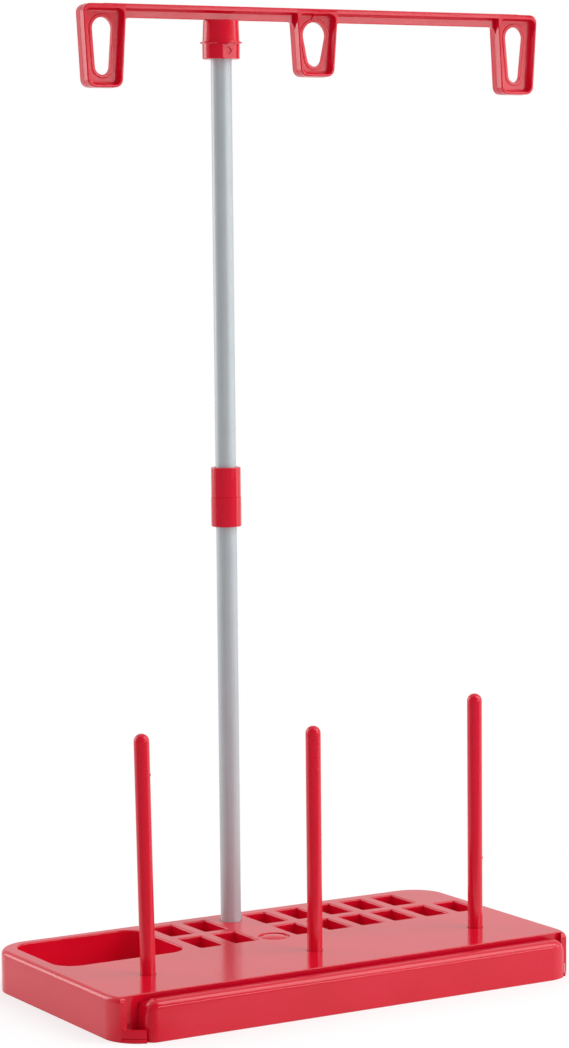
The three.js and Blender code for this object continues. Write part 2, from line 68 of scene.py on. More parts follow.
class Pull(Enum):
    """The direction in which an outline is pulled into a solid."""

    UP = "plan outline, pulled up"
    BACK = "front elevation, pulled back"
    ALONG = "end section, pulled along the base"

    def place(self, u: float, v: float, level: float) -> Vector:
        """The point of the outline at (u, v) when it is pulled to the level."""
        if self is Pull.UP:
            return Vector((u, v, level))
        if self is Pull.BACK:
            return Vector((u, level, v))
        return Vector((level, u, v))


class Combine(Enum):
    """How one solid acts on another."""

    JOIN = "UNION"
    CUT = "DIFFERENCE"
    KEEP_COMMON = "INTERSECT"


def quarter_turn(steps: int, last: float = 90.0) -> list[float]:
    """Angles in radians from 0 to the last one.

    Args:
        steps: How many steps the turn is divided into.
        last: The last angle in degrees.

    Returns:
        The angles, the first and last included.
    """
    return [math.radians(last) * step / steps for step in range(steps + 1)]


def rounding(radius: float, steps: int, last: float = 90.0) -> list[Point]:
    """How far the points of an arc lie from the two sides of the corner that it rounds.

    Args:
        radius: The radius.
        steps: Straight pieces in the arc.
        last: The turn in degrees at which it stops.

    Returns:
        (run, rise) pairs, from (0, radius) towards (radius, 0).
    """
    return [
        (radius * (1 - math.cos(turn)), radius * (1 - math.sin(turn)))
        for turn in quarter_turn(steps, last)
    ]


def shift(x: float, y: float, z: float) -> Matrix:
    """A move."""
    return Matrix.Translation((x, y, z))


def spin(degrees: float, axis: str) -> Matrix:
    """A turn about an axis through the origin."""
    return Matrix.Rotation(math.radians(degrees), 4, axis)


def on_side(turn: float, radius: float, height: float, y: float = 0.0) -> Matrix:
    """Stands a mark on the side of an upright cylinder, at a turn in degrees from +X."""
    return shift(0, y, height) @ (spin(turn, "Z") @ spin(90, "Y") @ shift(0, 0, radius))


def rounded(corners: Sequence[Point], radii: Sequence[float], steps: int = 6) -> Outline:
    """A convex outline whose corners are rounded by arcs.

    Args:
        corners: The corners, anticlockwise.
        radii: One radius for each corner.
        steps: Straight pieces in each arc.

    Returns:
        The outline, with as many points whatever its sizes are.
    """
    outline: Outline = []
    count = len(corners)
    for index, corner in enumerate(corners):
        here = Vector(corner)
        before = (Vector(corners[index - 1]) - here).normalized()
        after = (Vector(corners[(index + 1) % count]) - here).normalized()
        half = before.angle(after) / 2
        radius = max(radii[index], 0.02)
        centre = here + (before + after).normalized() * (radius / math.sin(half))
        start = here + before * (radius / math.tan(half)) - centre
        sweep = math.pi - 2 * half
        for step in range(steps + 1):
            turn = sweep * step / steps
            cos, sin = math.cos(turn), math.sin(turn)
            outline.append((
                centre.x + start.x * cos - start.y * sin,
                centre.y + start.x * sin + start.y * cos,
            ))
    return outline


def rectangle(
    x0: float, x1: float, y0: float, y1: float, radius: float, inset: float = 0.0, steps: int = 6,
) -> Outline:
    """A rectangle with rounded corners, drawn in from its edge by the inset."""
    corners = [
        (x0 + inset, y0 + inset), (x1 - inset, y0 + inset),
        (x1 - inset, y1 - inset), (x0 + inset, y1 - inset),
    ]
    return rounded(corners, [radius - inset] * 4, steps)


def circle(x: float, y: float, radius: float, sides: int = 48) -> Outline:
    """A circle as an outline."""
    turns = [2 * math.pi * side / sides for side in range(sides)]
    return [(x + radius * math.cos(turn), y + radius * math.sin(turn)) for turn in turns]


def lip(face: float, radius: float, inward: float, steps: int = 4) -> Profile:
    """The rounded edge where a pocket or hole opens in a face, for the solid that cuts it.

    Args:
        face: The level of the face.
        radius: The radius of the rounded edge.
        inward: +1 where the hole lies below the face, -1 where it lies above.
        steps: Straight pieces in the arc.

    Returns:
        (level, inset) pairs from inside the hole to just past the face.
    """
    arc = [(face - inward * rise, -run) for run, rise in rounding(radius, steps, LIP_TURN)]
    level, inset = arc[-1]
    run = (CUT_PAST + abs(face - level)) * math.tan(math.radians(LIP_TURN))
    return [*arc, (face + inward * CUT_PAST, inset - run)]


def pocket(floor: float, face: float, fillet: float, radius: float, draft: float = 0.0) -> Profile:
    """The (level, inset) pairs of a pocket from its floor to just past the face it opens in.

    Args:
        floor: The level of the floor.
        face: The level of the face.
        fillet: The radius between floor and wall.
        radius: The radius of the edge at the face.
        draft: How much narrower the pocket is at its floor, on each side.

    Returns:
        The pairs, from the floor outwards.
    """
    inward = 1.0 if face > floor else -1.0
    foot = [(floor + inward * run, draft + rise) for run, rise in rounding(fillet, 4)]
    return [*foot, *lip(face, radius, inward)]


def through(low: float, high: float, radius: float) -> Profile:
    """The (level, inset) pairs of a hole right through, with both its edges rounded."""
    return [*reversed(lip(low, radius, -1.0)), *lip(high, radius, 1.0)]


def bar_ends(low: float, high: float, bottom: float, top: float) -> Profile:
    """The (level, inset) pairs of a solid whose bottom and top edges are rounded."""
    foot = [(low + run, rise) for run, rise in rounding(bottom, 3)]
    head = [(high - rise, run) for run, rise in rounding(top, 8 if top > 1 else 4)]
    return [*foot, *head]


def put(name: str, data: bpy.types.ID) -> bpy.types.Object:
    """A new object in the scene."""
    made = bpy.data.objects.new(name, data)
    bpy.context.scene.collection.objects.link(made)
    return made


def result(made: bpy.types.Object) -> bpy.types.Mesh:
    """The mesh that an object's modifiers make."""
    evaluated = made.evaluated_get(bpy.context.evaluated_depsgraph_get())
    return bpy.data.meshes.new_from_object(evaluated)


class Solid:
    """A closed mesh in millimetres that can be joined with others, cut by them and placed."""

    def __init__(self, mesh: bpy.types.Mesh) -> None:
        """Takes the mesh as it is."""
        self.mesh = mesh

    @classmethod
    def from_rings(cls, rings: Sequence[Sequence[Vector]], hoop: bool = False) -> "Solid":
        """A solid whose skin runs from ring to ring.

        Args:
            rings: Closed rings with equal numbers of points. A ring of one point is a tip.
            hoop: True where the last ring joins the first, as on a tube's wall.

        Returns:
            The solid, with its faces pointing out.
        """
        bm = bmesh.new()
        rows = [[bm.verts.new(point) for point in ring] for ring in rings]
        pairs = list(zip(rows, rows[1:]))
        if hoop:
            pairs.append((rows[-1], rows[0]))
        for lower, upper in pairs:
            count = max(len(lower), len(upper))
            for index in range(count):
                after = (index + 1) % count
                corners = [lower[index % len(lower)], lower[after % len(lower)],
                           upper[after % len(upper)], upper[index % len(upper)]]
                bm.faces.new(list(dict.fromkeys(corners)))
        if not hoop:
            for row, turned_over in ((rows[0], True), (rows[-1], False)):
                if len(row) > 2:
                    bm.faces.new(row[::-1] if turned_over else row)
        bmesh.ops.recalc_face_normals(bm, faces=bm.faces)
        mesh = bpy.data.meshes.new("solid")
        bm.to_mesh(mesh)
        bm.free()
        return cls(mesh)

    @classmethod
    def pulled(
        cls, outline: Callable[[float], Outline], profile: Profile, pull: Pull = Pull.UP,
    ) -> "Solid":
        """A solid pulled from an outline that is drawn in or out as it goes.

        Args:
            outline: Gives the outline for an inset.
            profile: (level, inset) pairs in order.
            pull: The direction of the pull.

        Returns:
            The solid.
        """
        rings = [
            [pull.place(u, v, level) for u, v in outline(inset)] for level, inset in profile
        ]
        return cls.from_rings(rings)

    @classmethod
    def slab(
        cls, sides: Sides, profile: Profile, radius: float = 0.02, steps: int = 6,
        pull: Pull = Pull.UP,
    ) -> "Solid":
        """A solid pulled from a rectangle (x0, x1, y0, y1) with rounded corners."""
        return cls.pulled(lambda inset: rectangle(*sides, radius, inset, steps), profile, pull)

    @classmethod
    def drum(
        cls, centre: Point, radius: float, profile: Profile, sides: int = 48, pull: Pull = Pull.UP,
    ) -> "Solid":
        """A solid pulled from a circle."""
        return cls.pulled(lambda inset: circle(*centre, radius - inset, sides), profile, pull)

    @classmethod
    def prism(cls, outline: Outline, start: float, end: float, pull: Pull) -> "Solid":
        """A solid pulled straight from one level to another."""
        return cls.pulled(lambda inset: outline, [(start, 0), (end, 0)], pull)

    @classmethod
    def turned(
        cls, profile: Sequence[Point], x: float = 0.0, y: float = 0.0, sides: int = 64,
        hoop: bool = False,
    ) -> "Solid":
        """A solid of revolution about an upright axis.

        Args:
            profile: (radius, height) pairs.
            x: The axis's place along the base.
            y: The axis's place across the base.
            sides: Points in each ring.
            hoop: True where the profile closes on itself.

        Returns:
            The solid.
        """
        rings = [
            [Vector((x, y, height))] if radius == 0
            else [Vector((u, v, height)) for u, v in circle(x, y, radius, sides)]
            for radius, height in profile
        ]
        return cls.from_rings(rings, hoop)

    @classmethod
    def post(
        cls, x: float, y: float, radius: float, low: float, high: float, sides: int = 64,
    ) -> "Solid":
        """A round upright post."""
        return cls.turned([(0, low), (radius, low), (radius, high), (0, high)], x, y, sides)

    def combined(self, how: Combine, others: Iterable["Solid"]) -> "Solid":
        """This solid after each of the others has acted on it.

        Args:
            how: What the others do.
            others: The other solids, in order.

        Returns:
            The new solid.
        """
        body, tools = put("body", self.mesh), []
        for other in others:
            tool = put("tool", other.mesh)
            tools.append(tool)
            modifier = body.modifiers.new("combine", "BOOLEAN")
            modifier.operation = how.value
            modifier.solver = SOLVER
            modifier.object = tool
        mesh = result(body)
        for used in (body, *tools):
            bpy.data.objects.remove(used)
        return Solid(mesh)

    def joined(self, *others: "Solid") -> "Solid":
        """This solid and the others as one."""
        return self.combined(Combine.JOIN, others)

    def cut(self, *others: "Solid") -> "Solid":
        """This solid without the others."""
        return self.combined(Combine.CUT, others)

    def common(self, *others: "Solid") -> "Solid":
        """What this solid shares with all the others."""
        return self.combined(Combine.KEEP_COMMON, others)

    def placed(self, matrix: Matrix) -> "Solid":
        """This solid moved and turned by the matrix."""
        self.mesh.transform(matrix)
        return self


@dataclass(frozen=True)
class NodeKit:
    """Short calls for building the nodes of a material, the world or a geometry tree."""

    tree: Tree

    def give(self, target: Socket, value: object) -> None:
        """Links an output to an input, or sets the input's own value."""
        if isinstance(value, Socket):
            self.tree.links.new(value, target)
        else:
            target.default_value = value

    def fill(self, node: bpy.types.Node, *inputs: object, **settings: object) -> bpy.types.Node:
        """Gives a node its inputs, in order or by name, and its properties.

        Args:
            node: The node.
            inputs: What the first inputs get: a value, or an output to link.
            settings: The same for inputs by name, and the values of properties.

        Returns:
            The node.
        """
        for index, value in enumerate(inputs):
            self.give(node.inputs[index], value)
        for name, value in settings.items():
            title = name.replace("_", " ").title()
            if title in node.inputs:
                self.give(node.inputs[title], value)
            else:
                setattr(node, name, value)
        return node

    def add(self, kind: str, *inputs: object, **settings: object) -> bpy.types.Node:
        """A new node, filled."""
        return self.fill(self.tree.nodes.new(kind), *inputs, **settings)

    def out(self, kind: str, *inputs: object, **settings: object) -> Socket:
        """The first output of a new node, filled."""
        return self.add(kind, *inputs, **settings).outputs[0]

    def stretched(self, scale: Triple = (1.0, 1.0, 1.0)) -> Socket:
        """Object coordinates, stretched by the scale."""
        place = self.add("ShaderNodeTexCoord").outputs["Object"]
        return self.out("ShaderNodeMapping", vector=place, scale=scale)

    def noise(self, vector: Socket, scale: float, detail: float = 2.0) -> Socket:
        """The value of a noise pattern."""
        return self.out("ShaderNodeTexNoise", vector=vector, scale=scale, detail=detail)

    def ranged(
        self, value: Socket, start: float, end: float, low: float = 0.0, high: float = 1.0,
        smooth: bool = False,
    ) -> Socket:
        """A value's range from start to end, spread from low to high."""
        return self.out(
            "ShaderNodeMapRange", value=value, from_min=start, from_max=end, to_min=low,
            to_max=high, interpolation_type="SMOOTHSTEP" if smooth else "LINEAR",
        )

    def span(self, value: Socket, low: float, high: float) -> Socket:
        """The middle of a pattern's range spread from low to high."""
        return self.ranged(value, 0.3, 0.7, low, high)

    def measured(self, operation: str, vector: Socket, other: Triple = (0, 0, 0)) -> Socket:
        """A vector's length, or its product with another one or its distance from it."""
        node = self.add("ShaderNodeVectorMath", vector, other, operation=operation)
        return node.outputs["Value"]

    def mix(self, share: Socket, first: Socket, second: Socket) -> Socket:
        """Two shaders mixed, the second by its share."""
        return self.out("ShaderNodeMixShader", share, first, second)

    def glow(self, strength: float = 1.0) -> Socket:
        """White light of its own."""
        return self.out("ShaderNodeEmission", strength=strength)

    def matt(self, level: float) -> Socket:
        """Matt grey paint."""
        return self.out("ShaderNodeBsdfDiffuse", (level, level, level, 1))

    def math(self, operation: str, first: Socket, second: Socket | float) -> Socket:
        """The result of one sum on two values."""
        return self.out("ShaderNodeMath", first, second, operation=operation)

    def blend(self, first: Socket, second: Socket, share: float) -> Socket:
        """Two patterns added, the second by its share."""
        rest = self.math("MULTIPLY", first, 1 - share)
        return self.math("ADD", rest, self.math("MULTIPLY", second, share))

    def tones(self, value: Socket, tones: Sequence[Triple]) -> Socket:
        """A colour between the tones, by the value."""
        node = self.add("ShaderNodeValToRGB", fac=value)
        steps = node.color_ramp.elements
        while len(steps) < len(tones):
            steps.new(0.5)
        for index, tone in enumerate(tones):
            steps[index].position = 0.3 + 0.4 * index / (len(tones) - 1)
            steps[index].color = (*tone, 1.0)
        return node.outputs["Color"]

    def bump(self, height: Socket, distance: float, **under: Socket) -> Socket:
        """A normal bent by a height, in metres, on top of the normal under it."""
        return self.out("ShaderNodeBump", height=height, distance=distance, **under)


def new_material(name: str) -> tuple[bpy.types.Material, NodeKit, bpy.types.Node]:
    """A new material, its node kit and its one shader."""
    material = bpy.data.materials.new(name)
    material.use_nodes = True
    tree = material.node_tree
    return material, NodeKit(tree), tree.nodes["Principled BSDF"]


@dataclass(frozen=True)
class GlossPlastic:
    """Injection-moulded red plastic: glossy, with a faint ripple, flow tones and handling marks."""

    name: str = "gloss_red_plastic"
    slot: str = "red_plastic"
    deep: Triple = (0.74, 0.0035, 0.023)
    middle: Triple = (0.775, 0.0045, 0.028)
    light: Triple = (0.80, 0.006, 0.033)
    roughness: Point = (0.11, 0.19)
    ripple: float = 0.000006
    grain: float = 0.0000006
    flow: Triple = (1.0, 1.0, 1.0)

    def build(self) -> bpy.types.Material:
        """The finish as a material."""
        material, kit, shader = new_material(self.name)
        plain = kit.stretched()
        drawn = kit.stretched(self.flow)
        tone = kit.noise(drawn, 28.0, 4.0)
        colour = kit.tones(tone, (self.deep, self.middle, self.light))
        hazes = kit.noise(plain, 190.0, 5.0)
        marks = kit.noise(kit.stretched((40.0, 900.0, 700.0)), 1.0, 3.0)
        worn = kit.blend(hazes, marks, 0.35)
        rippled = kit.bump(kit.noise(drawn, 110.0), self.ripple)
        grained = kit.bump(kit.noise(plain, 2600.0), self.grain, normal=rippled)
        worn_gloss = kit.span(worn, *self.roughness)
        kit.fill(shader, base_color=colour, roughness=worn_gloss, normal=grained)
        shader.inputs["IOR"].default_value = 1.5
        return material


@dataclass(frozen=True)
class PaintedTube:
    """Thin steel tube with a satin light grey paint, faintly streaked along its length."""

    name: str = "satin_grey_tube"
    slot: str = "grey_tube"
    dark: Triple = (0.52, 0.57, 0.60)
    light: Triple = (0.60, 0.65, 0.68)
    roughness: Point = (0.30, 0.42)
    streak: float = 0.00002
    metallic: float = 0.15

    def build(self) -> bpy.types.Material:
        """The finish as a material."""
        material, kit, shader = new_material(self.name)
        along = kit.stretched((900.0, 900.0, 14.0))
        streaks = kit.noise(along, 1.0, 3.0)
        clouds = kit.noise(kit.stretched(), 60.0, 3.0)
        mixed = kit.blend(streaks, clouds, 0.4)
        kit.fill(
            shader, base_color=kit.tones(mixed, (self.dark, self.light)),
            roughness=kit.span(mixed, *self.roughness), normal=kit.bump(streaks, self.streak),
            metallic=self.metallic,
        )
        return material


@dataclass(frozen=True)
class ZincSteel:
    """Zinc-plated screw steel, with a fine cloudy plating and a brushed sheen."""

    name: str = "zinc_screw_steel"
    slot: str = "screw_steel"
    dark: Triple = (0.40, 0.41, 0.43)
    light: Triple = (0.62, 0.63, 0.65)
    roughness: Point = (0.22, 0.42)
    brush: float = 0.00001

    def build(self) -> bpy.types.Material:
        """The finish as a material."""
        material, kit, shader = new_material(self.name)
        clouds = kit.noise(kit.stretched(), 900.0, 4.0)
        brushed = kit.noise(kit.stretched((3000.0, 300.0, 300.0)), 1.0)
        kit.fill(
            shader, base_color=kit.tones(clouds, (self.dark, self.light)),
            roughness=kit.span(clouds, *self.roughness), normal=kit.bump(brushed, self.brush),
            metallic=1.0,
        )
        return material


Finish = GlossPlastic | PaintedTube | ZincSteel


@dataclass
class Workshop:
    """Makes finished pieces of the stand from solids, each with its material made once."""

    materials: dict[str, bpy.types.Material] = field(default_factory=dict)

    def material(self, finish: Finish) -> bpy.types.Material:
        """The material of a finish."""
        if finish.name not in self.materials:
            self.materials[finish.name] = finish.build()
        return self.materials[finish.name]

    def piece(
        self, name: str, solid: Solid, finish: Finish, body: str, nodes: Sequence[str] = (),
    ) -> bpy.types.Object:
        """A finished piece that rides a body and stands for its nodes.

        Args:
            name: The piece's name.
            solid: Its shape, in millimetres.
            finish: Its finish.
            body: The body that it rides.
            nodes: The nodes that it stands for, or none where that is its own name.

        Returns:
            The piece's object.
        """
        mesh = solid.mesh
        mesh.transform(Matrix.Scale(METRES, 4))
        bm = bmesh.new()
        bm.from_mesh(mesh)
        bmesh.ops.remove_doubles(bm, verts=bm.verts, dist=2e-6)
        bmesh.ops.dissolve_degenerate(bm, edges=bm.edges, dist=1e-7)
        bmesh.ops.recalc_face_normals(bm, faces=bm.faces)
        bm.to_mesh(mesh)
        bm.free()
        mesh.materials.clear()
        mesh.materials.append(self.material(finish))
        mesh.shade_smooth()
        mesh.set_sharp_from_angle(angle=SMOOTH_ANGLE)
        made = put(name, mesh)
        weighted = made.modifiers.new("flats_stay_flat", "WEIGHTED_NORMAL")
        weighted.keep_sharp = True
        made.data = result(made)
        made.modifiers.clear()
        made.data.name = name
        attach(made, body)
        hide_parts(*(nodes or [name]))
        LOG.info("%s: %d faces on %s", name, len(made.data.polygons), body)
        return made


@dataclass(frozen=True)
class NodeTool:
    """A Geometry Nodes tree with named inputs, run once on a mesh."""

    name: str
    inputs: dict[str, tuple[str, object]]
    wire: Callable[[NodeKit, bpy.types.Node], Socket]

    def run(self, mesh: bpy.types.Mesh, material: bpy.types.Material) -> bpy.types.Mesh:
        """The mesh that the tree makes.

        Args:
            mesh: The mesh that goes in.
            material: The material that the result is set to.

        Returns:
            A plain new mesh.
        """
        tree = bpy.data.node_groups.new(self.name, "GeometryNodeTree")
        face = tree.interface
        face.new_socket(name="Geometry", in_out="INPUT", socket_type="NodeSocketGeometry")
        face.new_socket(name="Geometry", in_out="OUTPUT", socket_type="NodeSocketGeometry")
        sockets = {
            name: face.new_socket(name=name, in_out="INPUT", socket_type=kind)
            for name, (kind, _) in self.inputs.items()
        }
        kit = NodeKit(tree)
        shape = self.wire(kit, kit.add("NodeGroupInput"))
        plain = kit.out("GeometryNodeRealizeInstances", geometry=shape)
        painted = kit.out("GeometryNodeSetMaterial", geometry=plain, material=material)
        kit.add("NodeGroupOutput", geometry=painted)
        carrier = put(self.name, mesh)
        modifier = carrier.modifiers.new(self.name, "NODES")
        modifier.node_group = tree
        for name, (_, value) in self.inputs.items():
            modifier[sockets[name].identifier] = value
        made = result(carrier)
        bpy.data.objects.remove(carrier)
        return made


@dataclass(frozen=True)
class Stand:
    """Sizes and levels that several sub-assemblies share."""

    half_length: float = 120.0
    half_width: float = 66.0
    corner_radius: float = 17.5
    deck_top: float = 19.5
    deck_underside: float = 17.0
    inner_bottom: float = 2.1
    front_plane: float = -58.1
    deck_front: float = -55.6
    drawer_ends: Point = (-107.7, 113.0)
    drawer_side: float = 106.9
    seat_gap: float = 0.3
    pin_y: float = -25.2
    pin_places: Triple = (-85.8, 0.4, 88.4)
    pin_radius: float = 3.475
    pole_y: float = 50.8
    tube_radius: float = 4.85
    socket_clearance: float = 0.2
    socket_wall: float = 1.8
    socket_floor: float = 3.7

    @property
    def pin_bore(self) -> float:
        """The radius of a pin's socket."""
        return self.pin_radius + self.socket_clearance

    @property
    def tube_bore(self) -> float:
        """The radius of a tube's socket."""
        return self.tube_radius + self.socket_clearance

    def plan(self, inset: float) -> Outline:
        """The base's plan outline, drawn in by the inset."""
        return rectangle(
            -self.half_length, self.half_length, -self.half_width, self.half_width,
            self.corner_radius, inset, 16,
        )

    def filled(self, inset: float, profile: Profile) -> Solid:
        """The base's plan, drawn in by the inset, as a solid pulled up."""
        return Solid.pulled(lambda more: self.plan(inset + more), profile)


@dataclass
class Assembly:
    """A part of the stand that has its own sizes and makes its own pieces."""

    stand: Stand
    shop: Workshop
    finish: Finish = GlossPlastic()


@dataclass
class Base(Assembly):
    """The moulded base: deck, bobbin cells, open tray, sockets, bottom plate and its screws."""

    screw_finish: ZincSteel = ZincSteel()
    edge_fillet: float = 2.4
    wall: float = 2.5
    cell_width: float = 12.1
    cell_depth: float = 22.0
    column_step: float = 18.1
    row_step: float = 28.2
    back_row: float = 35.4
    left_block: float = -40.6
    right_block: float = 10.4
    pocket_floor: float = 3.7
    pocket_wall: float = 1.5
    cell_lip: float = 0.8
    cell_foot: Point = (0.7, 0.15)
    tray: Sides = (-112.1, -47.1, 6.3, 59.6)
    tray_corner: float = 10.0
    tray_foot: Point = (2.2, 0.2)
    badge: Point = (-0.4, 9.9)
    badge_radius: float = 7.4
    badge_depth: float = 0.6
    disc_radius: float = 5.8
    disc_dome: float = 0.8
    sill_top: float = 5.7
    sill_inset: float = 0.5
    end_web: float = 2.0
    lip_foot: float = 15.62
    close_fit: float = 0.12
    plate_top: float = 1.8
    screw_places: tuple[Point, ...] = (
        (-114.0, -38.0), (114.0, -38.0), (-114.0, -3.0), (114.0, -3.0), (0.0, 32.3), (106.2, 48.0),
    )
    screw_head: float = 2.7
    screw_shank: float = 1.4
    screw_hole: float = 1.7
    screw_head_height: float = 1.3
    screw_length: float = 9.0
    boss_radius: float = 2.9
    boss_rib: float = 1.6
    pilot_radius: float = 1.55
    pilot_top: float = 11.6

    def cell_array(self, x: float, y: float, columns: int, rows: int, solid: Solid) -> Solid:
        """Copies of a cell's solid in columns and rows.

        Args:
            x: The first column's left edge.
            y: The rearmost row's front edge.
            columns: How many columns there are.
            rows: How many rows there are, towards the front.
            solid: The solid of a cell whose corner is at the origin.

        Returns:
            All the copies as one solid.
        """
        def wire(kit: NodeKit, entry: bpy.types.Node) -> Socket:
            """Instances the cell on a line of columns, and that line on a line of rows."""
            given = entry.outputs
            shape = given["Geometry"]
            for name in ("Column", "Row"):
                line = kit.out(
                    "GeometryNodeMeshLine", count=given[f"{name}s"], offset=given[f"{name} Step"],
                )
                copies = kit.out("GeometryNodeInstanceOnPoints", points=line, instance=shape)
                shape = kit.out("GeometryNodeRealizeInstances", geometry=copies)
            return shape

        tool = NodeTool("cell_array", {
            "Columns": ("NodeSocketInt", columns),
            "Rows": ("NodeSocketInt", rows),
            "Column Step": ("NodeSocketVector", (self.column_step, 0.0, 0.0)),
            "Row Step": ("NodeSocketVector", (0.0, -self.row_step, 0.0)),
        }, wire)
        made = Solid(tool.run(solid.mesh.copy(), self.shop.material(self.finish)))
        return made.placed(shift(x, y, 0))

    def pockets(
        self, cell_profile: Profile, tray_profile: Profile, cell_corner: float,
    ) -> list[Solid]:
        """A solid at each of the fifteen cells and one at the tray.

        Args:
            cell_profile: A cell's (level, inset) pairs.
            tray_profile: The tray's (level, inset) pairs.
            cell_corner: The radius of a cell's corners.

        Returns:
            The solids, with the cells of each block as one.
        """
        cell = Solid.slab((0, self.cell_width, 0, self.cell_depth), cell_profile, cell_corner, 4)
        blocks = (
            (self.left_block, self.back_row, 2, 2), (self.right_block, self.back_row, 5, 1),
            (self.right_block, self.back_row - self.row_step, 6, 1),
        )
        return [
            *[self.cell_array(*block, cell) for block in blocks],
            Solid.slab(self.tray, tray_profile, self.tray_corner, 12),
        ]

    def outside(self) -> Solid:
        """The slab with its rounded top edge, stopped at the front plane."""
        stand = self.stand
        front, top, rear = stand.front_plane, stand.deck_top, stand.half_width + 1
        slab = stand.filled(0.0, bar_ends(0.0, top, 0.3, self.edge_fillet))
        last = 80
        arc = [(front + run, top - rise) for run, rise in rounding(self.edge_fillet, 8, last)]
        away = (arc[-1][0] + 2.0, arc[-1][1] + 2.0 / math.tan(math.radians(last)))
        limit = [(front, -1.0), *arc, away, (rear, away[1]), (rear, -1.0)]
        return slab.common(Solid.prism(limit, -REACH, REACH, Pull.ALONG))

    def front_room(self) -> Solid:
        """The room of the drawer front, ahead of the deck's crisp front edge."""
        stand = self.stand
        ahead, front, top = stand.front_plane - 15, stand.deck_front, stand.deck_top
        edge = [(front - inset, level) for level, inset in lip(top, 0.4, 1.0)]
        section = [(ahead, -1.0), (front, -1.0), *edge, (ahead, edge[-1][1])]
        inside = stand.filled(self.wall, [(-2.0, 0), (top + 2, 0)])
        return inside.common(Solid.prism(section, -REACH, REACH, Pull.ALONG))

    def front_walls(self) -> list[Solid]:
        """The low sills round the front corners, the webs behind them and the deck edge's lip."""
        stand = self.stand
        low, high = self.plate_top + self.close_fit, stand.deck_top - 1
        ring = stand.filled(self.sill_inset, bar_ends(low, self.sill_top, 0.1, 0.4)).cut(
            stand.filled(self.wall, [(low - 1, 0), *lip(self.sill_top, 0.4, 1.0)]),
        )
        left, right = stand.drawer_ends
        gap, front = stand.seat_gap, -stand.half_width - 5
        made = [
            ring.common(Solid.slab((*ends, front, stand.front_plane + 0.6), [(-1, 0), (high, 0)]))
            for ends in ((-REACH, left - gap), (right + gap, REACH))
        ]
        side, wall = stand.drawer_side + self.close_fit, stand.half_length - self.wall
        back = stand.deck_front + self.end_web
        for x0, x1, foot in (
            (-wall, -side, stand.inner_bottom), (side, wall, stand.inner_bottom),
            (-wall, wall, self.lip_foot),
        ):
            profile = [(foot, 0.2), (foot + 0.2, 0), (high, 0)]
            made.append(Solid.slab((x0, x1, stand.deck_front, back), profile, 0.3))
        return made

    def bosses(self) -> list[Solid]:
        """The screws' bosses, with ribs to the side walls."""
        low, high = self.stand.inner_bottom, self.stand.deck_top - 1
        half_rib = self.boss_rib / 2
        made = []
        for x, y in self.screw_places:
            made.append(Solid.post(x, y, self.boss_radius, low, high, 32))
            if abs(x) > self.stand.half_length / 2:
                ends = sorted((x, math.copysign(self.stand.half_length - self.wall / 2, x)))
                sides = (*ends, y - half_rib, y + half_rib)
                made.append(Solid.slab(sides, [(low, 0), (high, 0)], 0.05))
        return made

    def badge_disc(self, floor: float) -> Solid:
        """The plain domed disc that stands in the round recess."""
        rim, seat, dome = self.disc_radius, floor + 0.3, self.disc_dome
        return Solid.turned([
            (0, floor - 0.5), (rim, floor - 0.5), (rim, floor + 0.12), (rim - 0.15, floor + 0.27),
            *[
                (rim * share, seat + dome * (1 - share * share))
                for share in (0.92, 0.8, 0.65, 0.5, 0.35, 0.2, 0.08)
            ],
            (0, seat + dome),
        ], *self.badge, 72)

    def shell(self) -> None:
        """The base shell as a piece."""
        stand = self.stand
        low, high, top = stand.inner_bottom, stand.deck_top - 1, stand.deck_top
        ceiling = [(stand.deck_underside - rise, run) for run, rise in rounding(1.0, 4)]
        cavity = stand.filled(self.wall, [(-1.0, 0.0), *ceiling])
        seats = [(x, stand.pin_y, stand.pin_bore) for x in stand.pin_places]
        seats.append((0.0, stand.pole_y, stand.tube_bore))
        sockets = [Solid.post(x, y, bore + stand.socket_wall, low, high) for x, y, bore in seats]
        foot = stand.socket_floor
        bores = [
            Solid.drum((x, y), bore, [(foot, 0.4), (foot + 0.4, 0.0), *lip(top, 0.35, 1.0)])
            for x, y, bore in seats
        ]
        floor = top - self.badge_depth
        badge = Solid.drum(self.badge, self.badge_radius, pocket(floor, top, 0.2, 0.15), 72)
        pilots = [
            Solid.turned([
                (0, 1), (self.pilot_radius, 1), (self.pilot_radius, self.pilot_top - 0.8),
                (0, self.pilot_top),
            ], x, y, 32)
            for x, y in self.screw_places
        ]
        out = self.pocket_wall
        walls = [(low, 0.3 - out), (low + 0.3, -out), (high, -out)]
        insides = [
            pocket(self.pocket_floor, top, fillet, self.cell_lip, draft)
            for fillet, draft in (self.cell_foot, self.tray_foot)
        ]
        filled = self.outside().cut(cavity).joined(
            *self.front_walls(), *self.pockets(walls, walls, 0.4), *sockets, *self.bosses(),
        )
        whole = filled.cut(self.front_room(), *self.pockets(*insides, 0.7), *bores, badge, *pilots)
        whole = whole.joined(self.badge_disc(floor))
        self.shop.piece("base_shell", whole, self.finish, "base")

